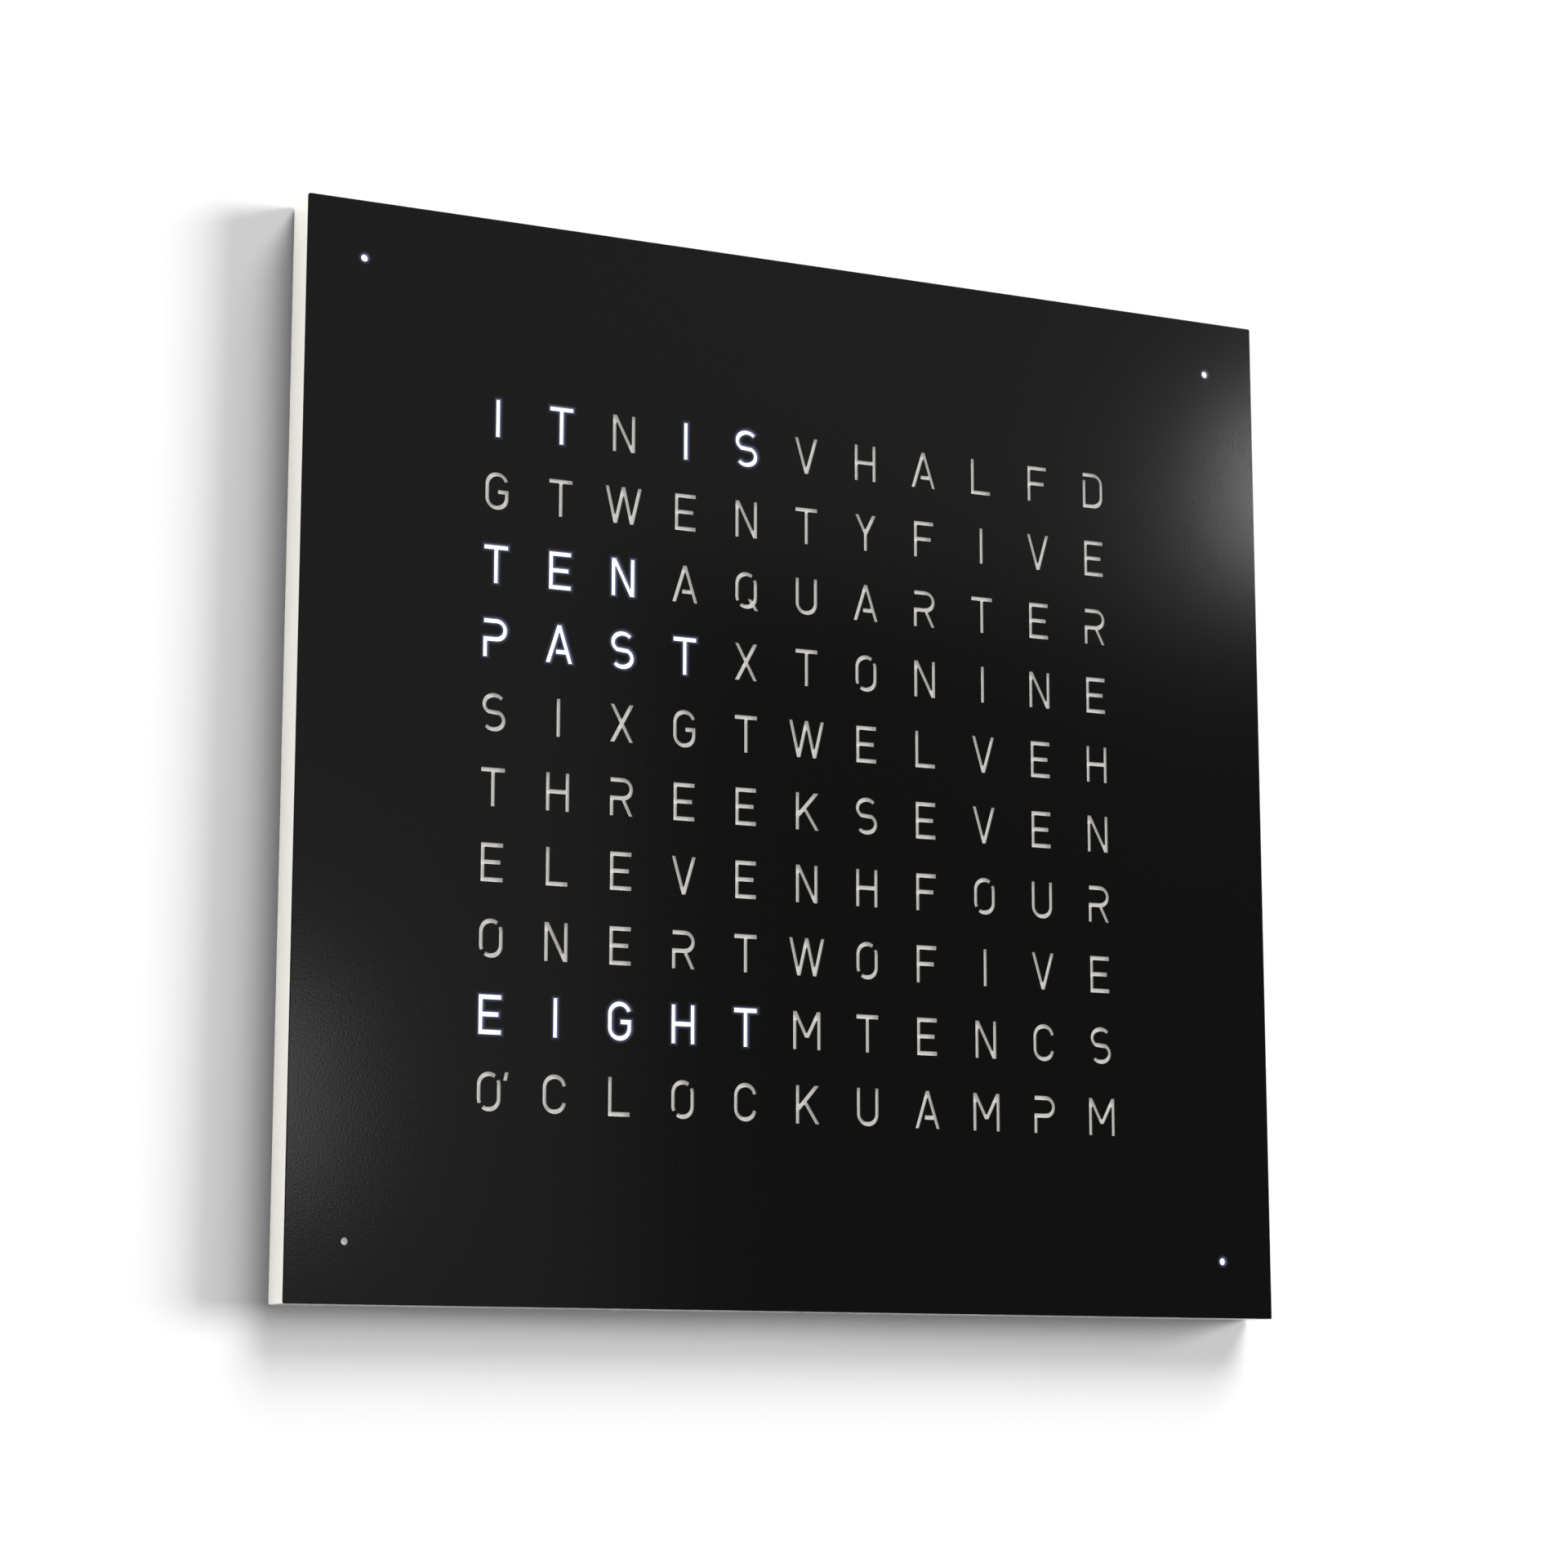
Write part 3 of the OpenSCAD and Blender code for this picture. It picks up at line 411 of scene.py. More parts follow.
def edit(piece, kind, chosen, *steps):
    """Picks faces by centre and normal, or edges by their ends, in millimetres, and runs edit mode
    steps on them."""
    alone(piece)
    bpy.ops.object.mode_set(mode="EDIT")
    bpy.ops.mesh.select_mode(type=kind)
    bpy.ops.mesh.select_all(action="DESELECT")
    bpy.ops.object.mode_set(mode="OBJECT")
    mesh = piece.data
    if kind == "FACE":
        for face in mesh.polygons:
            face.select = chosen(face.center / MM, face.normal)
    else:
        for line in mesh.edges:
            line.select = chosen(*(mesh.vertices[i].co / MM for i in line.vertices))
    bpy.ops.object.mode_set(mode="EDIT")
    for operator, settings in steps:
        operator(**settings)
    bpy.ops.object.mode_set(mode="OBJECT")
    return piece


def rounding(size, segments=2):
    return (bpy.ops.mesh.bevel, {"offset": size * MM, "segments": segments, "affect": "EDGES"})


def inset(width, depth=0.0):
    return (bpy.ops.mesh.inset, {"thickness": width * MM, "depth": depth * MM})


def drawn_out(x, y, z):
    return (bpy.ops.mesh.extrude_region_move, {"TRANSFORM_OT_translate": {"value": Vector((x, y, z)) * MM}})


def resized(x, y, z):
    return (bpy.ops.transform.resize, {"value": (x, y, z)})


NEAR = 0.01             # how near counts as in place when faces and edges are picked, in mm


def at_y(level):
    """Picks the edges that lie in a plane square to Y."""
    return lambda a, b: abs(a.y - level) < NEAR and abs(b.y - level) < NEAR


def at_z(level):
    """Picks the edges that lie in a plane square to Z."""
    return lambda a, b: abs(a.z - level) < NEAR and abs(b.z - level) < NEAR


MERGE = 0.003           # how near two points of a cut may lie, in mm
CLEAR = 1.0             # how far a cutter reaches past what it cuts, in mm


def cut_away(piece, cutter):
    """Cuts one solid out of another and removes the cutter."""
    modifier = piece.modifiers.new("cut", "BOOLEAN")
    modifier.operation = "DIFFERENCE"
    modifier.solver = "EXACT"
    modifier.object = cutter
    alone(piece)
    bpy.ops.object.modifier_apply(modifier=modifier.name)
    bpy.data.objects.remove(cutter)
    return edit(piece, "FACE", lambda c, n: True, (bpy.ops.mesh.remove_doubles, {"threshold": MERGE * MM}))


def copied(piece, places):
    """One piece made of copies at these places, each a shift in millimetres and turns about Y and Z
    in degrees."""
    copies = []
    for shift, about_y, about_z in places:
        copy = piece.copy()
        copy.data = piece.data.copy()
        bpy.context.scene.collection.objects.link(copy)
        copy.data.transform(Matrix.Translation(Vector(shift) * MM)
                            @ Matrix.Rotation(math.radians(about_z), 4, "Z")
                            @ Matrix.Rotation(math.radians(about_y), 4, "Y"))
        copies.append(copy)
    bpy.ops.object.select_all(action="DESELECT")
    for copy in copies:
        copy.select_set(True)
    bpy.context.view_layer.objects.active = copies[0]
    bpy.ops.object.join()
    bpy.data.objects.remove(piece)
    return bpy.context.object


def finished(piece, name, node, body, slot, smooth=35):
    """Shades a piece, names it and lets it stand for its node."""
    alone(piece)
    bpy.ops.object.shade_smooth_by_angle(angle=math.radians(smooth))
    piece.name = piece.data.name = name
    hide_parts(node)
    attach(piece, body)
    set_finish(piece, slot)


# ---- screws ----

SCREW_R, HEAD_R, HEAD_H = 1.5, 2.8, 1.6
SCREW_LENGTH = 9.0
SCREW_ROOM = 0.05
HEAD_SOFT = 0.12
TIP_L, TIP_TAPER = 2.2, 0.2
CROSS_W, CROSS_L, CROSS_D = 0.8, 3.3, 1.25
CROSS_TAPER = (0.35, 1, 0.7)
CROSS_TURN = 37         # degrees from one screw's cross to the next
Y_BACK = -1.0


def tapered_head(piece, level, radius, head_radius):
    """Draws the end face at this level out to the flat face of a countersunk head at y = 0."""
    wider = head_radius / radius
    return edit(piece, "FACE", lambda c, n: n.y < -0.9 and abs(c.y - level) < NEAR,
                drawn_out(0, -level, 0), resized(wider, 1, wider))


def countersunk_screw():
    screw = rod(SCREW_R, HEAD_H, SCREW_LENGTH - TIP_L, sides=32)
    tapered_head(screw, HEAD_H, SCREW_R, HEAD_R)
    edit(screw, "FACE", lambda c, n: n.y > 0.9, drawn_out(0, TIP_L, 0),
         resized(TIP_TAPER, 1, TIP_TAPER))
    edit(screw, "EDGE", at_y(0.0), rounding(HEAD_SOFT))
    for turn in (0, 90):
        blade = block(CROSS_L, CROSS_W, -CROSS_D, CROSS_D)
        edit(blade, "FACE", lambda c, n: n.y > 0.9, resized(*CROSS_TAPER))
        blade.data.transform(Matrix.Rotation(math.radians(turn), 4, "Y"))
        cut_away(screw, blade)
    return screw


def countersink(x, z):
    """What a plate loses for a screw driven into it from the back."""
    radius = SCREW_R + SCREW_ROOM
    room = rod(radius, HEAD_H, HEAD_H + 2, sides=48)
    tapered_head(room, HEAD_H, radius, HEAD_R + SCREW_ROOM)
    edit(room, "FACE", lambda c, n: n.y < -0.9, drawn_out(0, -CLEAR, 0))
    room.data.transform(Matrix.Translation(Vector((x, Y_BACK, z)) * MM) @ Matrix.Rotation(math.pi, 4, "Z"))
    return room


# ---- back: hangers, service cover, pads ----

HANGER_X, HANGER_Z = 150.0, 185.0
HANGER_W, HANGER_H, HANGER_T = 60.0, 26.0, 1.5
HANGER_SCREW_X = 23.0
KEYHOLE_R, SLOT_W, MOUTH_Z, SLOT_TOP = 4.5, 4.6, -4.5, 5.5
PLATE_CORNER, PLATE_SOFT = 3.0, 0.2
COVER_W, COVER_H, COVER_Z, COVER_SOFT = 159.4, 49.4, -185.0, 0.3
COVER_SCREW_X, COVER_SCREW_Z = 65.0, 22.5
PANEL_IN, PANEL_SUNK = 7.5, 0.25
PANEL_DRAFT = (0.997, 1, 0.99)
PAD_R, PAD_AT, Y_PAD, PAD_SOFT = 8.0, 205.0, -2.0, 0.5
PAD_RIM, PAD_GROOVE, PAD_GROOVE_D, PAD_SLOPE = 2.2, 0.8, 0.3, 0.3


def plate(width, height, y0, y1, z=0.0, corner=PLATE_CORNER, soft=PLATE_SOFT):
    """A flat plate with round corners and the edges of its back softened."""
    made = block(width, height, y0, y1, z=z)
    half_w = width / 2

    def upright(a, b):
        return abs(a.x - b.x) < NEAR and abs(a.z - b.z) < NEAR and abs(abs(a.x) - half_w) < NEAR

    edit(made, "EDGE", upright, rounding(corner, 8))
    edit(made, "EDGE", at_y(y1), rounding(soft))
    return made


def hanger():
    made = plate(HANGER_W, HANGER_H, Y_BACK - HANGER_T, Y_BACK)
    front, back = Y_BACK - HANGER_T - CLEAR, Y_BACK + CLEAR
    keyhole = rod(KEYHOLE_R, front, back, z=MOUTH_Z)
    slot = block(SLOT_W, SLOT_TOP - MOUTH_Z, front - 0.1, back + 0.1, z=(SLOT_TOP + MOUTH_Z) / 2)
    edit(slot, "FACE", lambda c, n: n.z > 0.9, drawn_out(0, 0, SLOT_W / 2))
    edit(slot, "EDGE", lambda a, b: min(a.z, b.z) > SLOT_TOP + 1 and abs(a.y - b.y) > 1,
         rounding(SLOT_W / 2 - 0.001, 12))
    cut_away(made, keyhole)
    cut_away(made, slot)
    for side in (-1, 1):
        cut_away(made, countersink(side * HANGER_SCREW_X, 0))

    def keyhole_edge(a, b):
        beside, above = KEYHOLE_R + 0.1, 2 * KEYHOLE_R + 0.1
        return at_y(Y_BACK)(a, b) and all(abs(p.x) < beside and abs(p.z) < above for p in (a, b))

    edit(made, "EDGE", keyhole_edge, rounding(PLATE_SOFT))
    return made


def service_cover():
    made = plate(COVER_W, COVER_H, Y_BACK - HANGER_T, Y_BACK, z=COVER_Z, soft=COVER_SOFT)
    sunk = plate(COVER_W - 2 * PANEL_IN, COVER_H - 2 * PANEL_IN, Y_BACK - PANEL_SUNK, Y_BACK + CLEAR,
                 z=COVER_Z, corner=PLATE_CORNER - 1)
    edit(sunk, "FACE", lambda c, n: n.y < -0.9, resized(*PANEL_DRAFT))
    cut_away(made, sunk)
    for sx in (-1, 1):
        for sz in (-1, 1):
            cut_away(made, countersink(sx * COVER_SCREW_X, COVER_Z + sz * COVER_SCREW_Z))
    return made


def wall_pad():
    made = rod(PAD_R, Y_PAD, 0)
    edit(made, "EDGE", at_y(0.0), rounding(PAD_SOFT, 3))
    edit(made, "FACE", lambda c, n: n.y > 0.99, inset(PAD_RIM), inset(PAD_SLOPE, -PAD_GROOVE_D),
         inset(PAD_GROOVE), inset(PAD_SLOPE, PAD_GROOVE_D))
    return made


def back_fittings():
    screws = countersunk_screw()
    hangers = [(sx * HANGER_X + t * HANGER_SCREW_X, HANGER_Z) for sx in (-1, 1) for t in (-1, 1)]
    covers = [(sx * COVER_SCREW_X, COVER_Z + sz * COVER_SCREW_Z) for sx in (-1, 1) for sz in (-1, 1)]
    fronts = []
    for s in (-1, 1):
        for t in (-1, 1):
            fronts += [(t * SCREW_OUT, s * SCREW_EDGE), (s * SCREW_EDGE, t * SCREW_OUT)]
    for name, node, places, y, turned in (
            ("cross_hanger_screws", "hanger_screws", hangers, Y_BACK, 180),
            ("cross_cover_screws", "service_cover_screws", covers, Y_BACK, 180),
            ("cross_diffuser_screws", "diffuser_screws", fronts, Y_SHEET, 0)):
        one = screws.copy()
        one.data = screws.data.copy()
        bpy.context.scene.collection.objects.link(one)
        made = copied(one, [((x, y, z), CROSS_TURN * i % 90, turned) for i, (x, z) in enumerate(places)])
        finished(made, name, node, "casing", "zinc_plated_steel")
    bpy.data.objects.remove(screws)
    plates = copied(hanger(), [((s * HANGER_X, 0, HANGER_Z), 0, 0) for s in (-1, 1)])
    finished(plates, "keyhole_hanger_plates", "hanger_plates", "casing", "zinc_plated_steel")
    finished(service_cover(), "moulded_service_cover", "service_cover", "casing", "dark_plastic")
    pads = copied(wall_pad(), [((sx * PAD_AT, 0, sz * PAD_AT), 0, 0) for sx in (-1, 1) for sz in (-1, 1)])
    finished(pads, "ringed_wall_pads", "wall_pads", "casing", "pad_rubber")


# ---- rim: pegs, bushes and magnets ----

PEG_R, PEG_AT, Y_PEG_END, PEG_SOFT = 3.0, 217.5, -13.0, 0.9
BUSH_R, BUSH_BORE_R, BUSH_BORE_D, BUSH_SOFT = 4.08, 3.08, 6.8, 0.2
Y_BUSH, Y_BUSH_END = -18.8, -11.0
MAGNET_R, MAGNET_PITCH, MAGNET_SOFT = 5.0, 130.0, 0.25
Y_MAGNET, Y_MAGNET_END = -18.8, -15.8


def rim_fittings():
    at_corners = [((sx * PEG_AT, 0, sz * PEG_AT), 0, 0) for sx in (-1, 1) for sz in (-1, 1)]
    peg = rod(PEG_R, Y_RIM, Y_PEG_END)
    edit(peg, "EDGE", at_y(Y_PEG_END), rounding(PEG_SOFT, 4))
    finished(copied(peg, at_corners), "rounded_cover_pegs", "cover_pegs", "front", "stainless_steel")
    bush = rod(BUSH_R, Y_BUSH, Y_BUSH_END)
    edit(bush, "FACE", lambda c, n: n.y < -0.99, inset(BUSH_R - BUSH_BORE_R),
         drawn_out(0, BUSH_BORE_D, 0))
    edit(bush, "EDGE", at_y(Y_BUSH), rounding(BUSH_SOFT))
    finished(copied(bush, at_corners), "turned_peg_bushes", "peg_bushes", "casing", "brass")
    magnet = rod(MAGNET_R, Y_MAGNET, Y_MAGNET_END)
    for level in (Y_MAGNET, Y_MAGNET_END):
        edit(magnet, "EDGE", at_y(level), rounding(MAGNET_SOFT))
    places = []
    for s in (-1, 1):
        for along in (-MAGNET_PITCH, 0, MAGNET_PITCH):
            places += [((along, 0, s * PEG_AT), 0, 0), ((s * PEG_AT, 0, along), 0, 0)]
    finished(copied(magnet, places), "rounded_magnets", "housing_magnets", "casing", "nickel_plated_magnet")


# ---- bottom edge: buttons and light pipe ----

BUTTON_R, BUTTON_SOFT, BUTTON_Y = 2.5, 0.35, -7.5
BUTTON_X = (("mode", -20), ("minus", 0), ("plus", 20))
DISH = ((0.5, -0.12), (0.5, -0.05))     # the two steps of the hollow in a button's end
SILL_BOTTOM, SILL_TOP = -225.0, -205.0
COLLAR_R, COLLAR_T, COLLAR_START = 3.5, 1.5, 0.001
PIPE_X, PIPE_R, PIPE_END, PIPE_TOP, PIPE_DOME = 40.0, 2.0, -224.7, -201.9, 0.8
PIPE_COLLAR_R, PIPE_COLLAR_T = 3.0, 1.0


def collared_rod(x, radius, end, top, collar_r, collar_t):
    """An upright rod whose collar sits on the inside of the sill."""
    made = rod(radius, end, SILL_TOP, along="Z", x=x, y=BUTTON_Y)
    wide = collar_r / radius
    up = (lambda c, n: n.z > 0.9)
    edit(made, "FACE", up, drawn_out(0, 0, COLLAR_START), resized(wide, wide, 1),
         drawn_out(0, 0, collar_t - COLLAR_START))
    if top > SILL_TOP + collar_t:
        edit(made, "FACE", up, inset(collar_r - radius), drawn_out(0, 0, top - SILL_TOP - collar_t))
    return made


def sill_fittings():
    for name, x in BUTTON_X:
        cap = collared_rod(x, BUTTON_R, SILL_BOTTOM, SILL_TOP + COLLAR_T, COLLAR_R, COLLAR_T)
        edit(cap, "EDGE", at_z(SILL_BOTTOM), rounding(BUTTON_SOFT, 3))
        edit(cap, "FACE", lambda c, n: n.z < -0.99 and c.z < SILL_BOTTOM + NEAR, inset(BUTTON_SOFT),
             *(inset(*step) for step in DISH))
        finished(cap, f"dished_{name}_button", f"{name}_button", f"{name}_key", "stainless_steel")
    pipe = collared_rod(PIPE_X, PIPE_R, PIPE_END, PIPE_TOP, PIPE_COLLAR_R, PIPE_COLLAR_T)
    edit(pipe, "EDGE", at_z(PIPE_END), rounding(PIPE_DOME, 5))
    finished(pipe, "domed_light_pipe", "sensor_light_pipe", "casing", "clear_acrylic")


# ---- node building ----

def add(tree, kind, inputs=None, **settings):
    """A shader node with its settings and its inputs, each a value or another node's output."""
    made = tree.nodes.new(kind)
    for key, value in settings.items():
        setattr(made, key, value)
    for key, value in (inputs or {}).items():
        socket = made.inputs[key]
        if isinstance(value, bpy.types.NodeSocket):
            tree.links.new(value, socket)
        else:
            socket.default_value = value
    return made


def math_node(tree, operation, a, b=0.5, clamp=False):
    return add(tree, "ShaderNodeMath", {0: a, 1: b}, operation=operation, use_clamp=clamp).outputs[0]


def rgba(colour):
    return (*colour, 1.0)


def effect(name, inputs, outputs):
    """An empty node group with these sockets. Returns it with its input and output nodes."""
    group = bpy.data.node_groups.new(name, "ShaderNodeTree")
    for socket, kind, value in inputs:
        made = group.interface.new_socket(socket, in_out="INPUT", socket_type=kind)
        if value is not None:
            made.default_value = value
    for socket, kind in outputs:
        group.interface.new_socket(socket, in_out="OUTPUT", socket_type=kind)
    return group, group.nodes.new("NodeGroupInput"), group.nodes.new("NodeGroupOutput")


FLOAT, COLOUR, VECTOR = "NodeSocketFloat", "NodeSocketColor", "NodeSocketVector"
NOISE_LOW, NOISE_HIGH = 0.3, 0.7        # between these lies nearly all of a noise


def surface_grain():
    """Slow drift of the colour, fine grain of the surface, and the roughness that goes with it."""
    group, source, sink = effect(
        "surface_grain",
        [("Vector", VECTOR, None), ("Colour", COLOUR, (0.5, 0.5, 0.5, 1)),
         ("Worn Colour", COLOUR, (0.5, 0.5, 0.5, 1)), ("Drift Scale", FLOAT, 8.0),
         ("Grain Scale", FLOAT, 600.0), ("Grain Tint", FLOAT, 0.2), ("Roughness", FLOAT, 0.5),
         ("Roughness Spread", FLOAT, 0.1)],
        [("Colour", COLOUR), ("Roughness", FLOAT), ("Height", FLOAT)])
    drift = add(group, "ShaderNodeTexNoise", {"Vector": source.outputs["Vector"],
                                              "Scale": source.outputs["Drift Scale"], "Detail": 3.0})
    grain = add(group, "ShaderNodeTexNoise", {"Vector": source.outputs["Vector"],
                                              "Scale": source.outputs["Grain Scale"], "Detail": 2.0})
    spread = add(group, "ShaderNodeMapRange", {"Value": drift.outputs["Fac"],
                                               "From Min": NOISE_LOW, "From Max": NOISE_HIGH})
    fine = math_node(group, "SUBTRACT", grain.outputs["Fac"], 0.5)
    tint = math_node(group, "MULTIPLY", fine, source.outputs["Grain Tint"])
    blend = math_node(group, "ADD", spread.outputs["Result"], tint, clamp=True)
    mix = add(group, "ShaderNodeMix", {"Factor": blend, "A": source.outputs["Colour"],
                                       "B": source.outputs["Worn Colour"]}, data_type="RGBA")
    rough = math_node(group, "MULTIPLY", fine, source.outputs["Roughness Spread"])
    rough = math_node(group, "ADD", rough, source.outputs["Roughness"], clamp=True)
    group.links.new(mix.outputs[2], sink.inputs["Colour"])
    group.links.new(rough, sink.inputs["Roughness"])
    group.links.new(grain.outputs["Fac"], sink.inputs["Height"])
    return group


GRAIN = surface_grain()


def material(name, colour, worn, roughness, *, drift=8.0, grain=600.0, tint=0.2, spread=0.1, bump=0.1,
             depth=0.00005, stretch=(1, 1, 1), **sockets):
    """A surface with grain. Sockets are values of the shader that are the same all over."""
    made = bpy.data.materials.new(f"{name}_finish")
    made.use_nodes = True
    tree = made.node_tree
    tree.nodes.clear()
    where = add(tree, "ShaderNodeTexCoord").outputs["Object"]
    where = add(tree, "ShaderNodeMapping", {"Vector": where, "Scale": stretch}).outputs[0]
    group = add(tree, "ShaderNodeGroup", node_tree=GRAIN)
    for key, value in {"Colour": rgba(colour), "Worn Colour": rgba(worn), "Drift Scale": drift,
                       "Grain Scale": grain, "Grain Tint": tint, "Roughness": roughness,
                       "Roughness Spread": spread}.items():
        group.inputs[key].default_value = value
    tree.links.new(where, group.inputs["Vector"])
    relief = add(tree, "ShaderNodeBump", {"Strength": bump, "Distance": depth,
                                          "Height": group.outputs["Height"]})
    shader = add(tree, "ShaderNodeBsdfPrincipled",
                 {"Base Color": group.outputs["Colour"], "Roughness": group.outputs["Roughness"],
                  "Normal": relief.outputs[0], **sockets})
    output = add(tree, "ShaderNodeOutputMaterial", {"Surface": shader.outputs[0]})
    output.name = "Output"
    return made


def shader_of(made):
    return next(n for n in made.node_tree.nodes if n.type == "BSDF_PRINCIPLED")


def glow_on(made, attribute, colour, strength, share=1.0, elsewhere=(0, 0, 0)):
    """Lets a surface give light of this colour where its attribute says so, times this share, and of
    another elsewhere."""
    tree = made.node_tree
    amount = add(tree, "ShaderNodeAttribute", attribute_name=attribute).outputs["Fac"]
    amount = math_node(tree, "MULTIPLY", amount, share)
    lit = add(tree, "ShaderNodeMix", {"Factor": amount, "A": rgba(elsewhere), "B": rgba(colour)},
              data_type="RGBA")
    shader = shader_of(made)
    tree.links.new(lit.outputs[2], shader.inputs["Emission Color"])
    shader.inputs["Emission Strength"].default_value = strength


CELL_FALL = 5.0         # how late a lit cell falls off from its lamp to its walls
WALL_SHARE = 0.12       # what is left of its light at the walls
PAINTED_HALO_COLOUR = (0.11, 0.125, 0.22)      # painted halo: bluish light painted on to the sheet beside a lit letter or dot
LAMP_LIGHT = (0.96, 0.98, 1.0)
LAMP_POWER = 1.25
PAINTED_ROOM_GLOW = (0.25, 0.24, 0.23)      # painted glow: grey light painted into the diffuser where no lamp is on, standing in for room light


def powder_coat():
    made = material("black_powder_coat", (0.0026, 0.0023, 0.0021), (0.0024, 0.0022, 0.0020), 0.135,
                    drift=3.0, grain=1100.0, tint=0.2, spread=0.05, bump=0.4, depth=0.00006,
                    **{"Specular IOR Level": 0.04})
    # The coat glows with the painted halo beside the lit letters and dots
    glow_on(made, "painted_halo", PAINTED_HALO_COLOUR, 1.0)
    return made


def over_the_lamp(tree):
    """How near a point of the diffuser is to the lamp in its cell: 1 over it, less towards the walls."""
    place = add(tree, "ShaderNodeTexCoord").outputs["Object"]
    place = add(tree, "ShaderNodeSeparateXYZ", {0: place}).outputs
    far = []
    for axis, pitch, count in (("X", PITCH_X, COLUMNS), ("Z", PITCH_Z, ROWS)):
        cell = math_node(tree, "DIVIDE", place[axis], pitch * MM)
        cell = math_node(tree, "ADD", cell, 0.5 * (count % 2))
        within = math_node(tree, "SUBTRACT", math_node(tree, "FRACT", cell), 0.5)
        far.append(math_node(tree, "POWER", math_node(tree, "ABSOLUTE", within), CELL_FALL))
    far = math_node(tree, "MAXIMUM", *far)
    return add(tree, "ShaderNodeMapRange", {"Value": far, "From Max": 0.5 ** CELL_FALL, "To Min": 1.0,
                                            "To Max": WALL_SHARE}).outputs[0]


def opal():
    made = material("opal_acrylic", (0.56, 0.545, 0.53), (0.44, 0.43, 0.42), 0.5, drift=900.0,
                    grain=2400.0, tint=1.6, bump=0.25, depth=0.00003)
    # Lit cells and dot pools glow with their lamps' light, and the rest of the diffuser carries the painted
    # grey glow
    glow_on(made, "lit", LAMP_LIGHT, LAMP_POWER, over_the_lamp(made.node_tree), PAINTED_ROOM_GLOW)
    return made


def ivory():
    """Lacquered wood. To diffuse bounces it shows a dark grey in place of its ivory, which paints deeper
    shade on to the wall beside it.
    """
    made = material("ivory_lacquered_wood", (0.87, 0.848, 0.797), (0.855, 0.83, 0.78), 0.34,
                    drift=5.0, grain=700.0, tint=0.15, spread=0.06, bump=0.06, depth=0.00006,
                    **{"Coat Weight": 0.25, "Coat Roughness": 0.12})
    tree = made.node_tree
    shader = shader_of(made)
    # Painted shade: dark grey seen only by diffuse bounces, so the wall beside the housing stays dark
    dim = add(tree, "ShaderNodeBsdfDiffuse", {"Color": rgba((0.1, 0.1, 0.1))})
    path = add(tree, "ShaderNodeLightPath")
    choice = add(tree, "ShaderNodeMixShader", {0: path.outputs["Is Diffuse Ray"], 1: shader.outputs[0],
                                               2: dim.outputs[0]})
    tree.links.new(choice.outputs[0], tree.nodes["Output"].inputs["Surface"])
    return made


def make_materials():
    steel = {"Metallic": 1.0}
    glass = {"Transmission Weight": 0.9, "IOR": 1.49}
    made = {"ivory_lacquered_wood": ivory(), "black_powder_coat": powder_coat(), "opal_acrylic": opal()}
    for name, colour, worn, roughness, settings in (
            ("white_plastic", (0.82, 0.82, 0.81), (0.78, 0.78, 0.77), 0.42, {"bump": 0.08}),
            ("dark_plastic", (0.035, 0.035, 0.037), (0.045, 0.045, 0.047), 0.48,
             {"grain": 1500.0, "bump": 0.3}),
            ("socket_plastic", (0.02, 0.02, 0.021), (0.028, 0.028, 0.03), 0.3, {"bump": 0.05}),
            ("circuit_board", (0.012, 0.075, 0.035), (0.016, 0.09, 0.045), 0.3,
             {"drift": 90.0, "grain": 2200.0, "bump": 0.15, "Coat Weight": 0.4}),
            ("chip_resin", (0.022, 0.022, 0.024), (0.03, 0.03, 0.032), 0.62,
             {"grain": 2400.0, "bump": 0.3}),
            ("lamp_body", (0.85, 0.83, 0.68), (0.88, 0.87, 0.78), 0.28, {"bump": 0.04}),
            ("clear_acrylic", (0.92, 0.93, 0.93), (0.9, 0.91, 0.91), 0.08, {"bump": 0.02, **glass}),
            ("lead_insulation", (0.5, 0.03, 0.025), (0.42, 0.028, 0.022), 0.45, {"bump": 0.1}),
            ("ribbon_insulation", (0.42, 0.43, 0.45), (0.36, 0.37, 0.39), 0.5, {"bump": 0.1}),
            ("stainless_steel", (0.60, 0.59, 0.57), (0.52, 0.51, 0.50), 0.28,
             {"grain": 900.0, "bump": 0.08, "stretch": (1, 8, 1), **steel}),
            ("zinc_plated_steel", (0.62, 0.63, 0.65), (0.50, 0.52, 0.56), 0.34,
             {"drift": 120.0, "grain": 1200.0, "tint": 0.5, "bump": 0.12, **steel}),
            ("nickel_plated_magnet", (0.70, 0.68, 0.64), (0.63, 0.61, 0.58), 0.18,
             {"drift": 200.0, "bump": 0.04, **steel}),
            ("brass", (0.72, 0.52, 0.22), (0.62, 0.43, 0.18), 0.26,
             {"drift": 150.0, "bump": 0.08, **steel}),
            ("aluminium_can", (0.75, 0.75, 0.76), (0.68, 0.68, 0.70), 0.3, {"bump": 0.06, **steel}),
            ("pad_rubber", (0.03, 0.03, 0.031), (0.045, 0.045, 0.046), 0.78,
             {"grain": 1400.0, "bump": 0.4})):
        made[name] = material(name, colour, worn, roughness, **settings)
    return made


# ---- wall, floor, lamps and camera ----

STAGE_WHITE = 0.92
STAGE_LIFT = 0.04       # what the background adds for the camera, so that it stays white
STAGE_SIZE = 8.0
WALL_AT = (0, 0.0004, 0)
FLOOR_AT = (0, -2.5, -1.4)
PANELS_OUT = 1.43       # how far the soft lamps stand off the wall
WORLD_DIM = 0.11        # what the room adds from all round
CAMERA_AT = (-0.66011, -1.41439, -0.27691)
CAMERA_TURN = (100.04, 0, -24.97)       # degrees
LENS, SENSOR = 85.0, 36.0


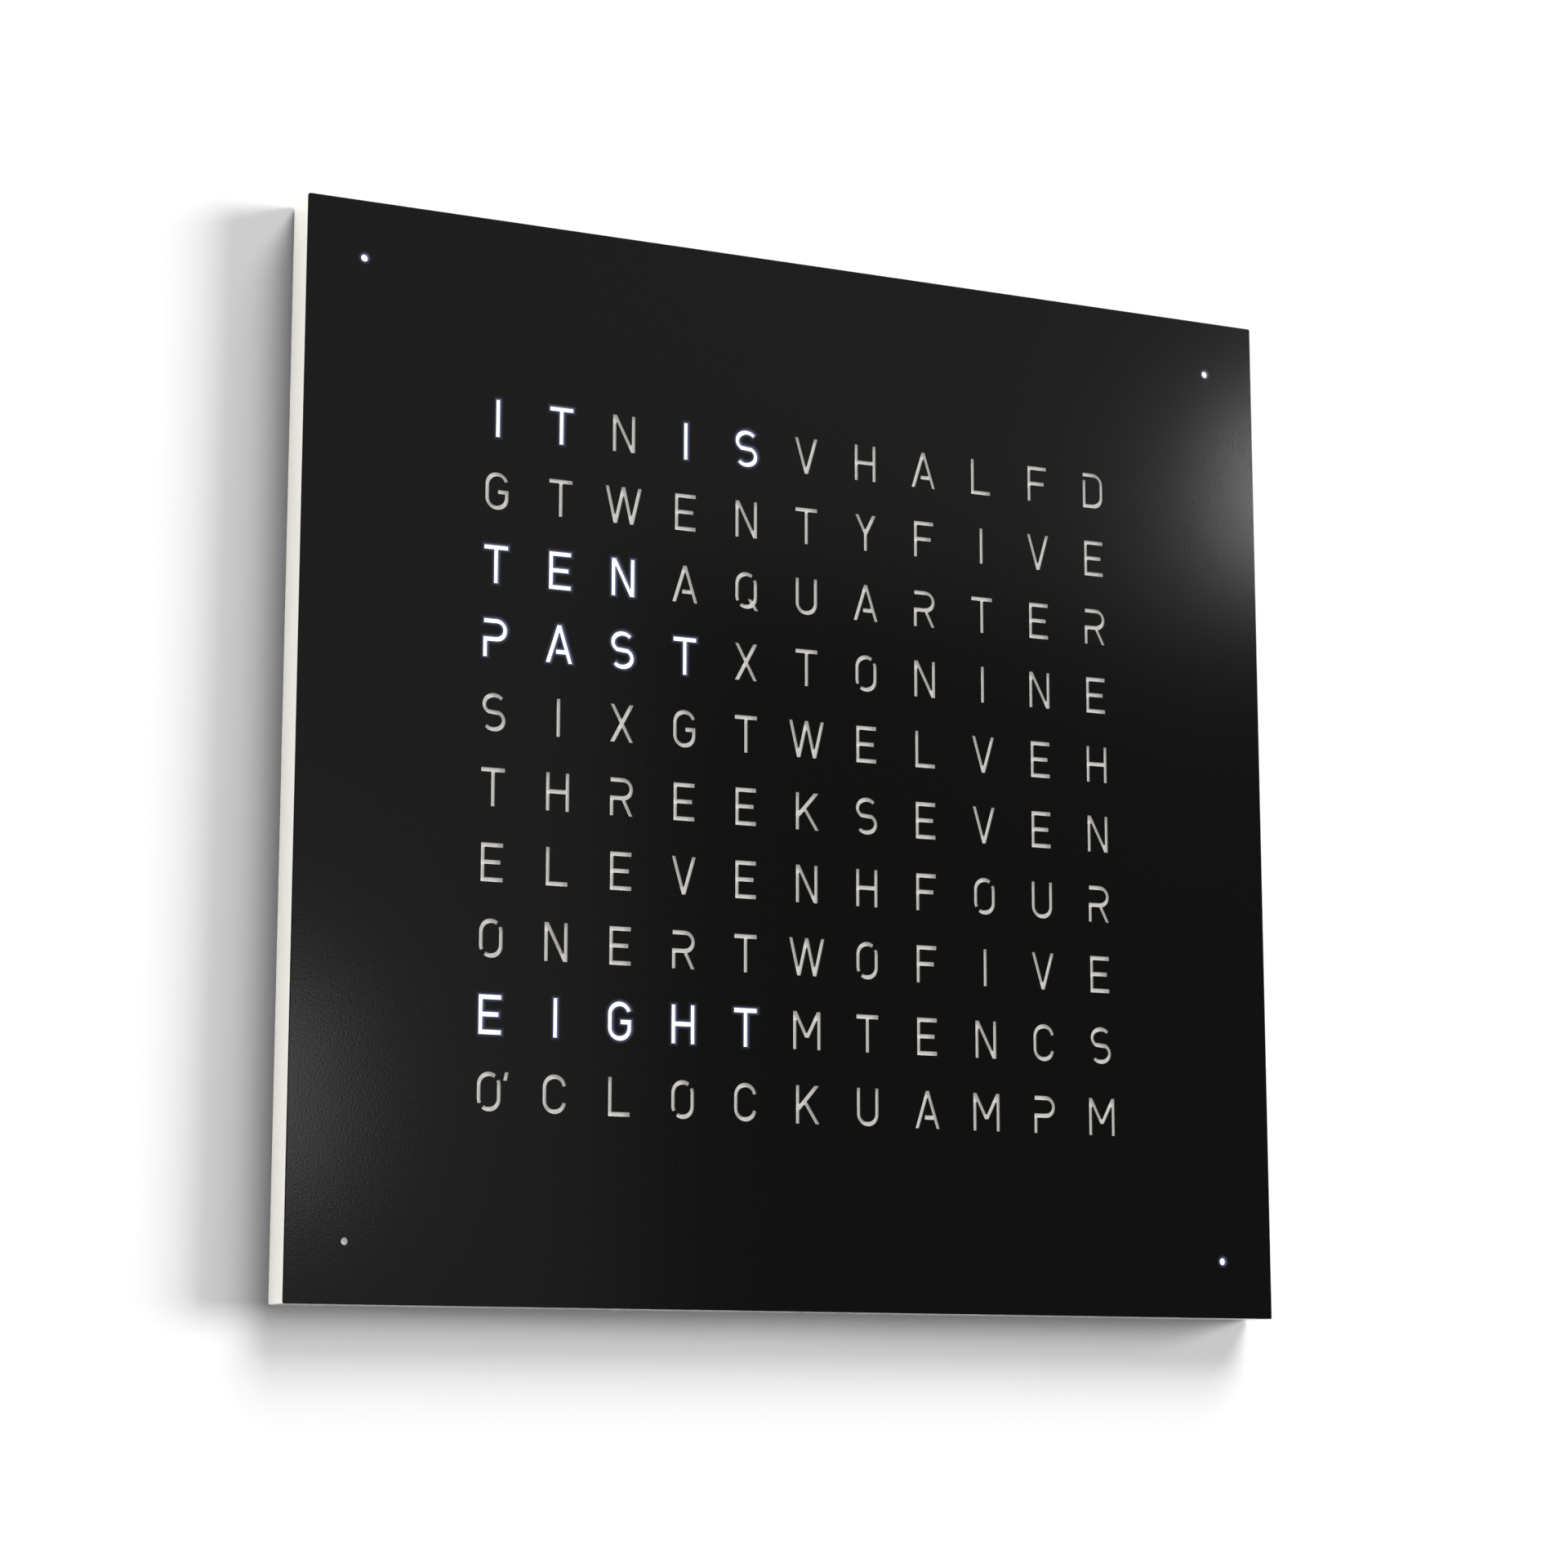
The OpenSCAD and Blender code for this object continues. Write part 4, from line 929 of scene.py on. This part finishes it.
def stage_material():
    """Pale and lit from its front, nothing at all from behind, so that the back of the clock can be seen.
    What the clock itself covers isn't mirrored in the metal of its back."""
    made = bpy.data.materials.new("pale_background")
    made.use_nodes = True
    tree = made.node_tree
    tree.nodes.clear()
    path = add(tree, "ShaderNodeLightPath").outputs
    behind = add(tree, "ShaderNodeNewGeometry").outputs["Backfacing"]
    matt = add(tree, "ShaderNodeBsdfDiffuse", {"Color": rgba((STAGE_WHITE,) * 3)})
    lift = math_node(tree, "MULTIPLY", path["Is Camera Ray"], STAGE_LIFT)
    lift = add(tree, "ShaderNodeEmission", {"Strength": lift})
    seen = add(tree, "ShaderNodeAddShader", {0: matt.outputs[0], 1: lift.outputs[0]})
    clear = add(tree, "ShaderNodeBsdfTransparent")
    place = add(tree, "ShaderNodeTexCoord").outputs["Object"]
    place = add(tree, "ShaderNodeSeparateXYZ", {0: place}).outputs
    out = math_node(tree, "MAXIMUM", *(math_node(tree, "ABSOLUTE", place[axis]) for axis in "XY"))
    covered = math_node(tree, "LESS_THAN", out, FACE_HALF * MM)
    mirrored = math_node(tree, "MULTIPLY", covered, path["Is Glossy Ray"])
    away = math_node(tree, "MAXIMUM", behind, math_node(tree, "MAXIMUM", path["Is Shadow Ray"], mirrored))
    choice = add(tree, "ShaderNodeMixShader", {0: away, 1: seen.outputs[0], 2: clear.outputs[0]})
    add(tree, "ShaderNodeOutputMaterial", {"Surface": choice.outputs[0]})
    return made


def backdrop(name, place, turn):
    bpy.ops.mesh.primitive_plane_add(size=STAGE_SIZE, location=place, rotation=turn)
    plane = bpy.context.object
    plane.name = name
    plane.data.materials.append(STAGE)
    return plane


def sun(name, towards, strength, spread, lit=None):
    """A lamp far away in the direction given, as wide as spread degrees, for the pieces of the
    collection lit, or for all."""
    data = bpy.data.lights.new(name, "SUN")
    data.energy = strength
    data.angle = math.radians(spread)
    lamp = bpy.data.objects.new(name, data)
    bpy.context.scene.collection.objects.link(lamp)
    lamp.rotation_euler = Vector(towards).to_track_quat("Z", "Y").to_euler()
    lamp.visible_glossy = False
    lamp.light_linking.receiver_collection = lit


def panel(name, x, z, width, height, power, lit):
    """A soft lamp square on to the clock, mirrored only in the pieces of the collection lit."""
    data = bpy.data.lights.new(name, "AREA")
    data.shape = "RECTANGLE"
    data.size, data.size_y = width, height
    data.energy = power
    lamp = bpy.data.objects.new(name, data)
    bpy.context.scene.collection.objects.link(lamp)
    lamp.location = (x, -PANELS_OUT, z)
    lamp.rotation_euler = (math.radians(90), 0, 0)
    lamp.visible_diffuse = False
    lamp.visible_camera = False
    lamp.light_linking.receiver_collection = lit


def group_of(name, piece, link_state="INCLUDE"):
    """A collection for the lamps that light only this piece, or everything but it."""
    group = bpy.data.collections.new(name)
    group.objects.link(piece)
    group.collection_objects[0].light_linking.link_state = link_state
    return group


def lamps(sheet):
    """The lamps. Where one sun leaves the housing out, the renderer can drop another from the housing
    too, and which one depends on their order. In this order the housing keeps all that it needs."""
    housing = group_of("housing_alone", nodes["housing"])
    apart = group_of("all_but_the_housing", nodes["housing"], "EXCLUDE")
    sun("back_soft", (0.1, 1.0, 0.35), 2.2, 12)
    sun("side_fill", (-1.0, -0.03, 0.05), 2.3, 3)
    sun("key_right", (2.0, -1.0, 0.3), 3.46, 24, apart)
    sun("key_above", (0.5, -1.0, 1.6), 2.98, 36)
    sun("housing_soft", (0.35, -1.0, 0.0), 1.2, 20, housing)
    shining = group_of("shining", sheet)
    panel("shine_right", 1.164, 0.59, 0.05, 0.132, 4.4, shining)
    panel("shine_left", 0.036, -0.011, 0.404, 0.162, 5.2, shining)
    panel("sheen_above", 0.458, 1.053, 2.2, 1.2, 18.9, shining)
    panel("sheen_left", -0.094, -0.047, 1.2, 1.0, 8.6, shining)


def world():
    made = bpy.data.worlds.new("studio")
    bpy.context.scene.world = made
    made.use_nodes = True
    made.cycles.sampling_method = "NONE"
    tree = made.node_tree
    tree.nodes.clear()
    path = add(tree, "ShaderNodeLightPath").outputs
    seen = math_node(tree, "MAXIMUM", path["Is Camera Ray"], path["Is Glossy Ray"])
    seen = math_node(tree, "MAXIMUM", seen, path["Is Transmission Ray"])
    dim = add(tree, "ShaderNodeBackground", {"Strength": WORLD_DIM})
    white = add(tree, "ShaderNodeBackground", {"Strength": 1.0})
    for background in (dim, white):
        background.inputs["Color"].default_value = rgba((1, 1, 1))
    choice = add(tree, "ShaderNodeMixShader", {0: seen, 1: dim.outputs[0], 2: white.outputs[0]})
    add(tree, "ShaderNodeOutputWorld", {"Surface": choice.outputs[0]})


def camera():
    data = bpy.data.cameras.new("camera")
    data.lens, data.sensor_width = LENS, SENSOR
    seen_from = bpy.data.objects.new("camera", data)
    bpy.context.scene.collection.objects.link(seen_from)
    seen_from.location = CAMERA_AT
    seen_from.rotation_euler = [math.radians(turn) for turn in CAMERA_TURN]
    bpy.context.scene.camera = seen_from


bpy.ops.object.select_all(action="DESELECT")
camera()
world()
STAGE = stage_material()
backdrop("wall", WALL_AT, (math.radians(90), 0, 0))
backdrop("floor", FLOOR_AT, (0, 0, 0)).visible_diffuse = False
MATERIALS = make_materials()
lamps(front_sheet())
diffuser()
back_fittings()
rim_fittings()
sill_fittings()

for row in frame["record"]["subparts"]:
    node = nodes[row["node"]]
    for slot in node.material_slots:
        slot.material = MATERIALS[row["material_slot"]]
for piece in bpy.data.objects:
    if piece.type == "MESH" and "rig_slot" in piece and not piece.data.materials:
        piece.data.materials.append(MATERIALS[piece["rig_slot"]])

bpy.context.scene.view_settings.view_transform = "Standard"
